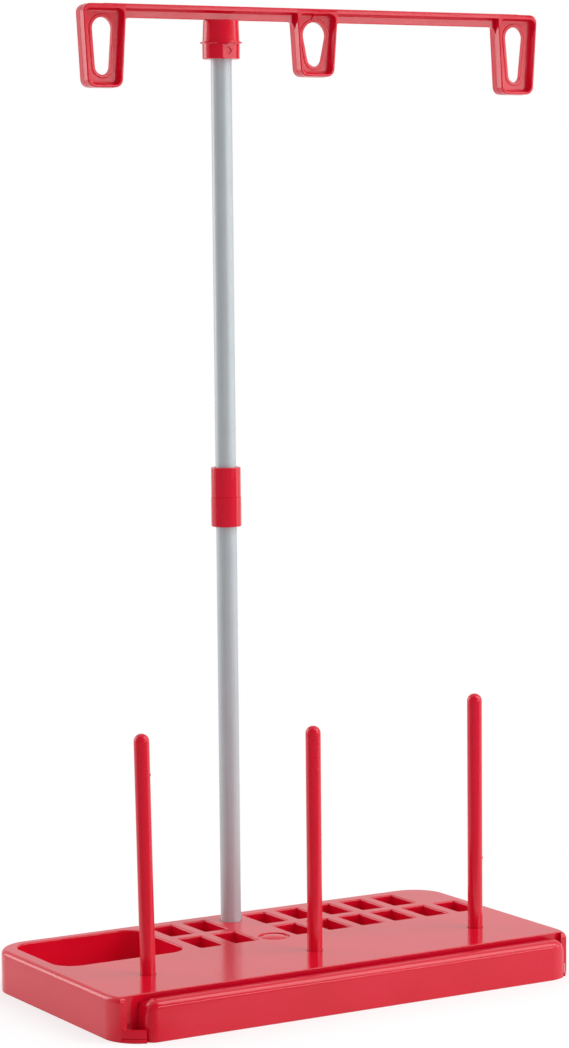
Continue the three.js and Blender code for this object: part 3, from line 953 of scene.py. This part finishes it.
    def bottom_plate(self) -> None:
        """The bottom plate as a piece, with tongues in the front corners."""
        stand = self.stand
        gap, top, tall = stand.seat_gap, self.plate_top, [(-3, 0), (6, 0)]
        front, plane = -stand.half_width - 2, stand.front_plane
        left, right = stand.drawer_ends
        inside = stand.filled(self.wall + gap, bar_ends(0.0, top, 0.25, 0.2))
        corners = stand.filled(0.0, bar_ends(0.0, top, 0.25, 1.1))
        behind = inside.cut(Solid.slab((-REACH, REACH, front, plane - 0.6), tall))
        tongues = corners.common(Solid.slab((-REACH, REACH, front, plane - gap), tall))
        slot = Solid.slab((left - gap, right + gap, front, plane), tall)
        head, hole = self.screw_head + gap, self.screw_hole
        holes = [
            Solid.turned([
                (0, -1), (head + 0.4, -1), (head, 0.0), (hole, self.screw_head_height),
                (hole, top + 1), (0, top + 1),
            ], x, y, 48)
            for x, y in self.screw_places
        ]
        whole = behind.joined(tongues).cut(slot, *holes)
        self.shop.piece("base_bottom_plate", whole, self.finish, "base")

    def screws(self) -> None:
        """The six countersunk screws as one piece, each made on its place by a node tree."""
        lift = self.stand.seat_gap / 2
        places = bpy.data.meshes.new("screw_places")
        places.from_pydata(
            [(x * METRES, y * METRES, lift * METRES) for x, y in self.screw_places], [], [],
        )

        def wire(kit: NodeKit, entry: bpy.types.Node) -> Socket:
            """A cone and a shank joined, a cross cut in the head, and the result on each place."""
            given, overlap, boolean = entry.outputs, 1.0, "GeometryNodeMeshBoolean"
            length = self.screw_length - overlap
            head = kit.out(
                "GeometryNodeMeshCone", vertices=48, radius_top=given["Shank Radius"],
                radius_bottom=given["Head Radius"], depth=given["Head Height"],
            )
            shank = kit.out(
                "GeometryNodeMeshCylinder", vertices=32, radius=given["Shank Radius"],
                depth=length * METRES,
            )
            middle = (0, 0, (overlap + length / 2) * METRES)
            raised = kit.out("GeometryNodeTransform", geometry=shank, translation=middle)
            solid = kit.add(boolean, operation=Combine.JOIN.value, solver=SOLVER, mesh_2=head)
            kit.fill(solid, mesh_2=raised)
            recess = kit.add(
                boolean, operation=Combine.CUT.value, solver=SOLVER, mesh_1=solid.outputs["Mesh"],
            )
            for size in ((3.0, 0.55, 1.6), (0.55, 3.0, 1.6)):
                bar = kit.out("GeometryNodeMeshCube", [side * METRES for side in size])
                kit.fill(recess, mesh_2=bar)
            screw = recess.outputs["Mesh"]
            return kit.out("GeometryNodeInstanceOnPoints", points=given["Geometry"], instance=screw)

        tool = NodeTool("countersunk_screws", {
            "Head Radius": ("NodeSocketFloat", self.screw_head * METRES),
            "Shank Radius": ("NodeSocketFloat", self.screw_shank * METRES),
            "Head Height": ("NodeSocketFloat", self.screw_head_height * METRES),
        }, wire)
        mesh = tool.run(places, self.shop.material(self.screw_finish))
        mesh.transform(Matrix.Scale(1 / METRES, 4))
        names = ("front_left", "front_right", "middle_left", "middle_right", "bay", "rear_right")
        nodes = [f"plate_screw_{name}" for name in names]
        self.shop.piece("plate_screws", Solid(mesh), self.screw_finish, "base", nodes)

    def build(self) -> None:
        """Makes all the base's pieces."""
        self.shell()
        self.bottom_plate()
        self.screws()


@dataclass
class Drawer(Assembly):
    """The shallow drawer behind its long front, with slots that pass the pins' sockets."""

    top: float = 18.0
    fillet: float = 3.5
    top_dip: float = 0.3
    corner: float = 6.0
    end_radii: Point = (4.2, 2.0)
    end_depth: float = 2.5
    end_length: float = 2.6
    front_wall: float = 2.0
    tray_top: float = 15.5
    wall: float = 1.5
    rear: float = 4.0
    slot_half: float = 6.075

    def stations(self, inset: float) -> list[Point]:
        """Places along the front with the depth that its rounded end takes off there.

        Args:
            inset: How far the skin lies inside the front's own.

        Returns:
            (place, depth) pairs from left to right.
        """
        ends = []
        for end_radius in self.end_radii:
            radius = max(end_radius - inset, 0.3)
            straight = (0.4, 0.9, 1.5, 2.3, 3.2, 4.2, 5.4, 7.0)
            ends.append([*rounding(radius, 12), *[(radius + step, 0.0) for step in straight]])
        left, right = self.stand.drawer_ends
        return [
            *[(left + inset + run, depth) for run, depth in ends[0]],
            *[(right - inset - run, depth) for run, depth in reversed(ends[1])],
        ]

    def front_edge(self, place: float, inset: float) -> float:
        """The front's distance from the middle line at a place along it."""
        stand = self.stand
        straight = stand.half_length - stand.corner_radius
        radius = stand.corner_radius - inset
        past = max(abs(place) - straight, 0.0)
        return -(stand.half_width - stand.corner_radius) - math.sqrt(radius * radius - past * past)

    def front_block(self, inset: float, low: float, back: float, deeper: float = 0.0) -> Solid:
        """The drawer front, or the space inside it, swept along the base.

        Args:
            inset: How far the skin lies inside the front's own.
            low: The level of its underside.
            back: How far back it goes.
            deeper: How much further back its two ends go.

        Returns:
            The solid.
        """
        rings, usual_back = [], back
        left, right = self.stand.drawer_ends
        for place, depth in self.stations(inset):
            past = max(left + self.corner - place, place - right + self.corner, 0.0)
            drop = self.corner - math.sqrt(max(self.corner ** 2 - past ** 2, 0.0))
            high = self.top - inset - min(drop, self.corner - 0.3)
            face = self.front_edge(place, inset) + depth
            at_end = min(place - left, right - place) < self.end_length
            back = usual_back + deeper * at_end
            radius = min(max(self.fillet - inset, 0.6), back - face - 0.5)
            arc = [(face + run, high - rise) for run, rise in rounding(radius, 14)]
            rear = high - self.top_dip
            section = [
                (face + 0.3, low), (face, low + 0.3), *arc,
                (back - 0.35, rear), (back - 0.1, rear - 0.1), (back, rear - 0.35), (back, low),
            ]
            rings.append([Pull.ALONG.place(u, v, place) for u, v in section])
        return Solid.from_rings(rings)

    def build(self) -> None:
        """Makes the drawer."""
        stand = self.stand
        low, top, rear = stand.inner_bottom, self.tray_top, self.rear
        floor, back = low + self.wall, stand.front_plane - stand.seat_gap
        front = self.front_block(0.0, 0.0, back, self.end_depth)
        hollow = self.front_block(self.front_wall, floor, back + 1)
        side = stand.drawer_side
        inner = side - self.wall
        tray = Solid.slab((-side, side, back - 1, rear), bar_ends(low, top, 0.3, 0.3), 0.6, 4)
        inside = Solid.slab(
            (-inner, inner, back - 2, rear - self.wall), pocket(floor, top, 0.8, 0.3), 1.0, 5,
        )
        guards, slots = [], []
        half, near = self.slot_half, stand.pin_y - self.slot_half
        out = half + self.wall
        for x in stand.pin_places:
            guards.append(Solid.slab(
                (x - out, x + out, near - self.wall, rear - 0.02),
                bar_ends(low + 0.01, top - 0.01, 0.3, 0.3), 1.8, 5,
            ))
            slots.append(Solid.slab(
                (x - half, x + half, near, rear + 10), through(low, top, 0.25), 1.2, 5,
            ))
        open_tray = tray.cut(inside, hollow)
        whole = front.cut(hollow).joined(open_tray, *guards).cut(*slots)
        self.shop.piece("storage_drawer", whole, self.finish, "drawer")


@dataclass
class SpoolPins(Assembly):
    """The three spool pins, pushed to different depths in their sockets."""

    finish: GlossPlastic = GlossPlastic(name="pin_red_plastic", flow=(1.0, 1.0, 0.15))
    length: float = 118.7
    foot_chamfer: float = 0.6
    lifts: Triple = (4.25, 0.0, 7.4)
    leans: Triple = (-0.9, 0.0, 0.0)
    nub_heights: Triple = (108.6, 103.6, 52.5)
    nub_turns: Triple = (-32.0, -92.0, -32.0)

    def pin(self) -> Solid:
        """One pin, standing on the origin."""
        radius = self.stand.pin_radius
        profile = [(0.0, 0.0), (radius - self.foot_chamfer, 0.0), (radius, self.foot_chamfer)]
        profile += [(radius, self.length * share) for share in (0.25, 0.5, 0.75)]
        shoulder = self.length - radius
        profile += [
            (radius * math.cos(turn) if turn < 1.57 else 0.0, shoulder + radius * math.sin(turn))
            for turn in quarter_turn(12)
        ]
        return Solid.turned(profile, sides=56)

    def nub(self, height: float, turn: float) -> Solid:
        """The small torn gate mark on a pin's side, at a height and a turn in degrees."""
        button = Solid.turned(
            [(0, -0.5), (0.75, -0.5), (0.62, 0.12), (0.4, 0.2), (0, 0.22)], sides=16,
        )
        return button.placed(on_side(turn, self.stand.pin_radius, height))

    def build(self) -> None:
        """Makes the three pins."""
        stand = self.stand
        rows = zip(
            ("left", "middle", "right"), stand.pin_places, self.lifts, self.leans,
            self.nub_heights, self.nub_turns,
        )
        for side, x, lift, lean, nub_height, nub_turn in rows:
            foot = stand.socket_floor + stand.seat_gap + lift
            middle = (foot + stand.deck_top) / 2
            pin = self.pin().joined(self.nub(nub_height - foot, nub_turn))
            pin.placed(
                shift(x, stand.pin_y, middle) @ spin(lean, "Y") @ shift(0, 0, foot - middle)
            )
            self.shop.piece(f"spool_pin_{side}", pin, self.finish, f"{side}_pin")


@dataclass
class Pole(Assembly):
    """The pole: two equal tubes that meet inside a coupler."""

    finish: PaintedTube = PaintedTube()
    coupler_finish: GlossPlastic = GlossPlastic()
    tube_wall: float = 0.8
    tube_length: float = 216.5
    lower_bottom: float = 4.0
    upper_bottom: float = 222.3
    coupler_middle: float = 221.4
    coupler_half: float = 13.9
    coupler_radius: float = 7.1
    stop_half: float = 0.6
    stop_width: float = 1.4
    parting_step: float = 0.12
    gate_turn: float = -31.0

    def tube(self, name: str, bottom: float, body: str) -> None:
        """One tube, with its cut ends eased."""
        radius, wall, ease = self.stand.tube_radius, self.tube_wall, 0.15
        top = bottom + self.tube_length
        inner = radius - wall
        profile = [
            (inner + ease, bottom), (radius - ease, bottom), (radius, bottom + ease),
            *[(radius, bottom + self.tube_length * share) for share in (0.25, 0.5, 0.75)],
            (radius, top - ease), (radius - ease, top), (inner + ease, top),
            (inner, top - ease), (inner, bottom + ease),
        ]
        solid = Solid.turned(profile, 0, self.stand.pole_y, 72, hoop=True)
        self.shop.piece(name, solid, self.finish, body)

    def coupler(self) -> None:
        """The coupler, with its parting line, chamfered mouths and gate mark."""
        middle, half, radius = self.coupler_middle, self.coupler_half, self.coupler_radius
        bore = self.stand.tube_bore
        stop = self.stand.tube_radius - self.stop_width
        upper = radius - self.parting_step
        low, high = middle - half, middle + half
        profile = [
            (bore + 0.6, low), (radius - 0.45, low), (radius - 0.13, low + 0.13),
            (radius, low + 0.45), (radius, middle - 0.2), (radius - 0.22, middle - 0.08),
            (upper - 0.1, middle + 0.08), (upper, middle + 0.2), (upper, high - 0.45),
            (upper - 0.13, high - 0.13), (upper - 0.45, high), (bore + 0.7, high),
            (bore, high - 0.7), (bore, middle + self.stop_half),
            (stop, middle + self.stop_half), (stop, middle - self.stop_half),
            (bore, middle - self.stop_half), (bore, low + 0.6),
        ]
        solid = Solid.turned(profile, 0, self.stand.pole_y, 72, hoop=True)
        gate = Solid.turned([(0, -0.6), (0.7, -0.6), (0.5, 0.15), (0, 0.2)], sides=12)
        gate.placed(on_side(self.gate_turn, radius - 0.25, middle - 0.5, self.stand.pole_y))
        self.shop.piece("pole_coupler", solid.joined(gate), self.coupler_finish, "lower_pole")

    def build(self) -> None:
        """Makes both tubes and the coupler."""
        self.tube("lower_pole_tube", self.lower_bottom, "lower_pole")
        self.coupler()
        self.tube("upper_pole_tube", self.upper_bottom, "upper_pole")


@dataclass(frozen=True)
class Eyelet:
    """One eyelet's place along the bar, its height and its slot."""

    x: float
    height: float
    hole_inset: float
    hole_height: float
    hole_width: float
    hole_foot: float
    open_left: bool = True
    open_right: bool = True


@dataclass
class GuideBar(Assembly):
    """The thread guide: a hub that turns on the pole, a T-shaped bar and three eyelets."""

    swivel: float = -5.0
    droop: float = 0.25
    top: float = 448.25
    hub_top: float = 442.05
    hub_bottom: float = 424.2
    hub_roof: float = 2.95
    collar_top: float = 431.3
    collar_radius: float = 8.7
    hub_radius: float = 8.25
    flash_radius: float = 9.7
    flash_height: float = 0.8
    pad_depth: float = 0.5
    half_depth: float = 4.75
    flange: float = 2.3
    half_web: float = 1.1
    eyelet_width: float = 21.8
    eyelet_taper: float = 2.2
    eyelet_corner: float = 4.0
    rim_face: float = 1.3
    rim_draft: float = 0.7
    web_fillet: float = 0.8
    land_width: float = 1.6
    land_half: float = 1.45
    gusset_radius: float = 3.0
    eyelets: tuple[Eyelet, ...] = (
        Eyelet(-59.8, 38.0, 6.1, 26.0, 10.1, 7.6, open_left=False),
        Eyelet(47.7, 31.5, 6.0, 20.6, 12.3, 8.0),
        Eyelet(155.2, 38.3, 5.9, 26.4, 10.1, 6.5, open_right=False),
    )

    def bar_section(self) -> Outline:
        """The T-shaped end section, as (depth, height) pairs."""
        half, web, top = self.half_depth - 0.03, self.half_web, self.top
        under, foot = top - self.flange, self.hub_top
        edge, bend = 0.5, 0.9
        right = [(web - 0.3, foot), (web - 0.09, foot + 0.09), (web, foot + 0.3)]
        right += [(web + 0.1 + run, under - rise) for run, rise in rounding(bend, 5)]
        right += [(half - 0.3, under), (half - 0.09, under + 0.09), (half, under + 0.3)]
        right += [(half - run, top - rise) for run, rise in rounding(edge, 5)]
        return [*right, *[(-u, v) for u, v in reversed(right)]]

    def eyelet_outline(self, eyelet: Eyelet, inset: float, top_inset: float) -> Outline:
        """An eyelet's outline seen from the front.

        Args:
            eyelet: The eyelet.
            inset: How far the outline is drawn in at the sides and the foot.
            top_inset: How far it is drawn in at the top.

        Returns:
            The outline.
        """
        top_half = self.eyelet_width / 2 - inset
        foot_half = top_half - self.eyelet_taper
        top = self.top - 0.03 - top_inset
        foot = self.top - eyelet.height + inset
        outer = max(self.eyelet_corner - inset, 0.8)
        plain = outer if top_inset > 1 else 0.05
        radii = [
            outer, outer,
            plain if eyelet.open_right else outer, plain if eyelet.open_left else outer,
        ]
        corners = [
            (eyelet.x - foot_half, foot), (eyelet.x + foot_half, foot),
            (eyelet.x + top_half, top), (eyelet.x - top_half, top),
        ]
        return rounded(corners, radii, 8)

    def slot_outline(self, eyelet: Eyelet, inset: float) -> Outline:
        """The outline of an eyelet's slot, which narrows to its foot."""
        wide, narrow = eyelet.hole_width / 2, eyelet.hole_foot / 2
        high = self.top - eyelet.hole_inset - wide
        low = self.top - eyelet.hole_inset - eyelet.hole_height + narrow
        lean = math.asin((narrow - wide) / (high - low))
        outline = []
        for centre, radius, start, end in (
            (high, wide - inset, lean, math.pi - lean),
            (low, narrow - inset, math.pi - lean, 2 * math.pi + lean),
        ):
            for step in range(17):
                turn = start + (end - start) * step / 16
                outline.append((
                    eyelet.x + radius * math.cos(turn), centre + radius * math.sin(turn),
                ))
        return outline

    def eyelet_body(self, eyelet: Eyelet) -> Solid:
        """The outside of an eyelet: rounded edges, a little draft and a fine parting line."""
        half, edge, draft = self.half_depth, 0.5, 0.14
        face = [(-half + rise, draft + run) for run, rise in reversed(rounding(edge, 4))]
        front = [*face, (-0.16, 0.08), (-0.08, 0.0)]
        back = [(-level, inset) for level, inset in reversed(front)]
        return Solid.pulled(
            lambda inset: self.eyelet_outline(eyelet, inset, inset), [*front, *back], Pull.BACK,
        )

    def eyelet_recesses(self, eyelet: Eyelet) -> list[Solid]:
        """The hollows on both faces of an eyelet."""
        profile = pocket(-self.half_web, -self.half_depth, self.web_fillet, 0.35, self.rim_draft)
        return [
            Solid.pulled(
                lambda inset: self.eyelet_outline(
                    eyelet, self.rim_face + inset, self.flange + inset * 0.6,
                ),
                [(side * level, inset) for level, inset in profile], Pull.BACK,
            )
            for side in (1.0, -1.0)
        ]

    def eyelet_land(self, eyelet: Eyelet) -> Solid:
        """The raised land round an eyelet's slot, on both faces of its web."""
        half, ease = self.land_half, 0.3
        return Solid.pulled(
            lambda inset: self.slot_outline(eyelet, inset - self.land_width),
            [(-half, ease), (-half + ease, 0), (half - ease, 0), (half, ease)], Pull.BACK,
        )

    def eyelet_slot(self, eyelet: Eyelet) -> Solid:
        """An eyelet's slot, with crisp edges."""
        return Solid.pulled(
            lambda inset: self.slot_outline(eyelet, inset),
            through(-self.land_half, self.land_half, 0.22), Pull.BACK,
        )

    def gussets(self, eyelet: Eyelet) -> list[Solid]:
        """The rounded web corners between the bar and an eyelet's open sides."""
        made = []
        radius, level = self.gusset_radius, self.hub_top + 0.05
        for side, is_open in ((-1, eyelet.open_left), (1, eyelet.open_right)):
            if not is_open:
                continue
            edge = eyelet.x + side * (self.eyelet_width / 2 - 0.3)
            arc = [(edge + side * rise, level - run) for run, rise in rounding(radius, 8)]
            root = edge - side * 1.5
            outline = [
                (edge + side * radius, level + 1), *arc, (root, level - radius), (root, level + 1),
            ]
            made.append(Solid.prism(outline, -self.half_web, self.half_web, Pull.BACK))
        return made

    def hub(self) -> Solid:
        """The hub with its collar, flash line, flat pad and dimple."""
        low, collar, top = self.hub_bottom, self.collar_top, self.hub_top
        wide, radius, flash = self.collar_radius, self.hub_radius, self.flash_radius
        over = collar + self.flash_height
        body = Solid.turned([
            (0, low), (wide - 0.5, low), (wide - 0.15, low + 0.15), (wide - 0.05, low + 0.5),
            (wide, collar - 0.2), (wide + 0.2, collar), (flash - 0.1, collar + 0.05),
            (flash, collar + 0.15), (flash, over - 0.15), (flash - 0.1, over), (wide + 0.2, over),
            (wide - 0.1, over + 0.2), (radius, top - 0.5), (radius - 0.15, top - 0.15),
            (radius - 0.5, top), (0, top),
        ], sides=96)
        face = self.pad_depth - wide
        pad = Solid.slab(
            (-6, 6, low - 1, collar - 0.6), [(face, 0), (-wide - 2, 0)], 0.3, pull=Pull.BACK,
        )
        dimple = Solid.drum(
            (0, low + 3.6), 1.5, pocket(face + 0.5, face, 0.2, 0.12), 32, Pull.BACK,
        )
        return body.cut(pad, dimple)

    def build(self) -> None:
        """Makes the guide bar."""
        web, roof, eyelets = self.half_web, self.hub_top - self.hub_roof, self.eyelets
        bar = Solid.prism(self.bar_section(), eyelets[0].x, eyelets[-1].x, Pull.ALONG)
        root = Solid.slab(
            (-4, 4, -web + 0.02, web - 0.02),
            [(self.hub_top - 1.3, 0), (self.hub_top + 1.0, 0)], 0.3,
        )
        bore = Solid.drum(
            (0, 0), self.stand.tube_bore,
            [(roof, 0.3), (roof - 0.3, 0.0), *lip(self.hub_bottom, 0.4, -1.0)], 64,
        )
        pad = Solid.drum(
            (eyelets[1].x, self.top - 4.2), 1.5,
            [(-web + 0.4, 0), (-web - 0.35, 0), (-web - 0.5, 0.2)], 32, Pull.BACK,
        )
        bodies = [self.eyelet_body(eyelet) for eyelet in eyelets]
        cuts = [cut for eyelet in eyelets for cut in self.eyelet_recesses(eyelet)]
        gussets = [gusset for eyelet in eyelets for gusset in self.gussets(eyelet)]
        whole = bar.joined(root, *bodies, *gussets, self.hub()).cut(*cuts, bore)
        whole = whole.joined(pad, *[self.eyelet_land(eyelet) for eyelet in eyelets])
        whole = whole.cut(*[self.eyelet_slot(eyelet) for eyelet in eyelets])
        seat = (self.hub_bottom + roof) / 2
        turned = spin(self.swivel, "Z") @ spin(self.droop, "Y")
        whole.placed(shift(0, self.stand.pole_y, seat) @ turned @ shift(0, 0, -seat))
        self.shop.piece("thread_guide_bar", whole, self.finish, "guide")


@dataclass
class Studio:
    """The plain pale floor, soft lights, white surroundings and the camera."""

    floor_reach: float = 12.0
    floor_paint: float = 0.8
    shadow_paint: float = 0.4
    shadow_glow: float = 0.66
    shadow_fade: Point = (0.16, 0.6)
    fill: float = 0.56
    backdrop: float = 0.76
    # Painted shade on the floor, seen only in reflections: the level of its dim glow.
    painted_shade_glow: float = 0.22
    room: float = 0.12
    room_side: Triple = (-0.5, -0.84, 0.2)
    room_fade: Point = (0.05, 0.6)
    # Painted shade on the floor in reflections: its fade towards the room side, and the place and
    # fade of its patch by the base's front-left corner.
    room_shade_fade: Point = (0.11, 0.19)
    painted_shade_place: Triple = (-0.135, -0.10, 0.0)
    corner_shade_fade: Point = (0.065, 0.03)
    camera_place: Triple = (-736.79, -1238.87, 345.42)
    yaw: float = 30.566
    pitch: float = 5.868
    roll: float = -0.5705
    focal_pixels: float = 3178.15
    optical_centre: Point = (272.44, 556.88)
    image_size: Point = (569.0, 1048.0)

    def sees_background(self, kit: NodeKit) -> Socket:
        """1 for camera, glossy and transmission rays, and 0 for the rest."""
        path = kit.add("ShaderNodeLightPath")
        seen = kit.math("MAXIMUM", path.outputs["Is Camera Ray"], path.outputs["Is Glossy Ray"])
        return kit.math("MAXIMUM", seen, path.outputs["Is Transmission Ray"])

    def world(self) -> None:
        """White surroundings with a dim room on the front side, which light less than they show."""
        world = bpy.data.worlds.new("white_studio")
        bpy.context.scene.world = world
        world.use_nodes = True
        kit = NodeKit(world.node_tree)
        direction = kit.add("ShaderNodeTexCoord").outputs["Generated"]
        toward_room = kit.measured("DOT_PRODUCT", direction, self.room_side)
        dimmed = kit.ranged(toward_room, *self.room_fade, self.backdrop, self.room, smooth=True)
        is_camera = kit.add("ShaderNodeLightPath").outputs["Is Camera Ray"]
        shown = world.node_tree.nodes["Background"]
        kit.fill(shown, WHITE, kit.math("MAXIMUM", is_camera, dimmed))
        lighting = kit.out("ShaderNodeBackground", WHITE, self.fill)
        mixed = kit.mix(self.sees_background(kit), lighting, shown.outputs["Background"])
        kit.fill(world.node_tree.nodes["World Output"], mixed)

    def floor(self) -> None:
        """A pale white floor with a soft shadow and painted shade that only reflections see."""
        mesh = bpy.data.meshes.new("floor")
        reach = self.floor_reach
        mesh.from_pydata(
            [(-reach, -reach, 0), (reach, -reach, 0), (reach, reach, 0), (-reach, reach, 0)],
            [], [(0, 1, 2, 3)],
        )
        floor = put("floor", mesh)
        material = bpy.data.materials.new("pale_floor")
        material.use_nodes = True
        nodes = material.node_tree.nodes
        nodes.remove(nodes["Principled BSDF"])
        kit = NodeKit(material.node_tree)
        place = kit.add("ShaderNodeTexCoord").outputs["Object"]
        paint, glow = kit.matt(self.shadow_paint), kit.glow(self.shadow_glow)
        near = kit.out("ShaderNodeAddShader", paint, glow)
        fade = kit.ranged(kit.measured("LENGTH", place), *self.shadow_fade)
        lit = kit.mix(fade, near, kit.glow())
        # Painted shade: glossy rays see the floor as a dim glow on the room's side and in a patch
        # by the base's front-left corner.
        toward_room = kit.measured("DOT_PRODUCT", place, self.room_side)
        dimmed = kit.ranged(toward_room, *self.room_shade_fade, smooth=True)
        corner = kit.measured("DISTANCE", place, self.painted_shade_place)
        shaded = kit.ranged(corner, *self.corner_shade_fade, smooth=True)
        is_glossy = kit.add("ShaderNodeLightPath").outputs["Is Glossy Ray"]
        painted_shade_share = kit.math("MULTIPLY", kit.math("MAXIMUM", dimmed, shaded), is_glossy)
        shade_in_reflections = kit.mix(painted_shade_share, lit, kit.glow(self.painted_shade_glow))
        mixed = kit.mix(self.sees_background(kit), kit.matt(self.floor_paint), shade_in_reflections)
        kit.fill(nodes["Material Output"], mixed)
        mesh.materials.append(material)

    def lamp(
        self, name: str, turn: float, height: float, distance: float, size: Point, power: float,
    ) -> None:
        """A soft panel that faces the stand.

        Args:
            name: The lamp's name.
            turn: Its bearing in degrees, clockwise seen from above, from straight behind the stand.
            height: Its height in metres.
            distance: Its distance from the stand in metres.
            size: Its width and height in metres.
            power: Its power in watts.
        """
        data = bpy.data.lights.new(name, "AREA")
        data.shape = "RECTANGLE"
        data.size, data.size_y = size
        data.energy = power
        lamp = put(name, data)
        bearing = math.radians(turn)
        lamp.location = (distance * math.sin(bearing), distance * math.cos(bearing), height)
        aim = Vector((0, 0, 0.2)) - lamp.location
        lamp.rotation_euler = aim.to_track_quat("-Z", "Y").to_euler()

    def camera(self) -> None:
        """The camera, where the photograph was taken from."""
        yaw, pitch, roll = (math.radians(angle) for angle in (self.yaw, self.pitch, self.roll))
        ahead = Vector((
            math.sin(yaw) * math.cos(pitch), math.cos(yaw) * math.cos(pitch), -math.sin(pitch),
        ))
        right = Vector((math.cos(yaw), -math.sin(yaw), 0))
        up = right.cross(ahead)
        across = right * math.cos(roll) + up * math.sin(roll)
        upright = up * math.cos(roll) - right * math.sin(roll)
        matrix = Matrix((across, upright, -ahead)).transposed().to_4x4()
        matrix.translation = Vector(self.camera_place) * METRES
        width, height = self.image_size
        data = bpy.data.cameras.new("camera")
        data.sensor_fit = "VERTICAL"
        data.sensor_height = 24.0
        data.lens = 24.0 * self.focal_pixels / height
        data.shift_x = (width / 2 - self.optical_centre[0]) / height
        data.shift_y = (self.optical_centre[1] - height / 2) / height
        data.clip_start = 0.01
        camera = put("camera", data)
        camera.matrix_world = matrix
        bpy.context.scene.camera = camera

    def build(self) -> None:
        """Sets up the studio."""
        bpy.context.scene.view_settings.view_transform = "Standard"
        self.camera()
        self.world()
        self.floor()
        self.lamp("left_panel", -34, 0.75, 1.7, (0.8, 1.3), 9)
        self.lamp("right_panel", 148, 0.4, 1.7, (1.1, 0.3), 4)
        self.lamp("side_panel", 112, 0.6, 1.7, (0.5, 1.2), 3)
        self.lamp("high_panel", 128, 1.75, 1.5, (1.2, 1.5), 16)


def main() -> None:
    """Builds the studio and the stand in order."""
    logging.basicConfig(level=logging.INFO, format="%(name)s %(message)s")
    stand, shop = Stand(), Workshop()
    Studio().build()
    for assembly in (Base, Drawer, SpoolPins, Pole, GuideBar):
        assembly(stand, shop).build()


if __name__ == "__main__":
    main()
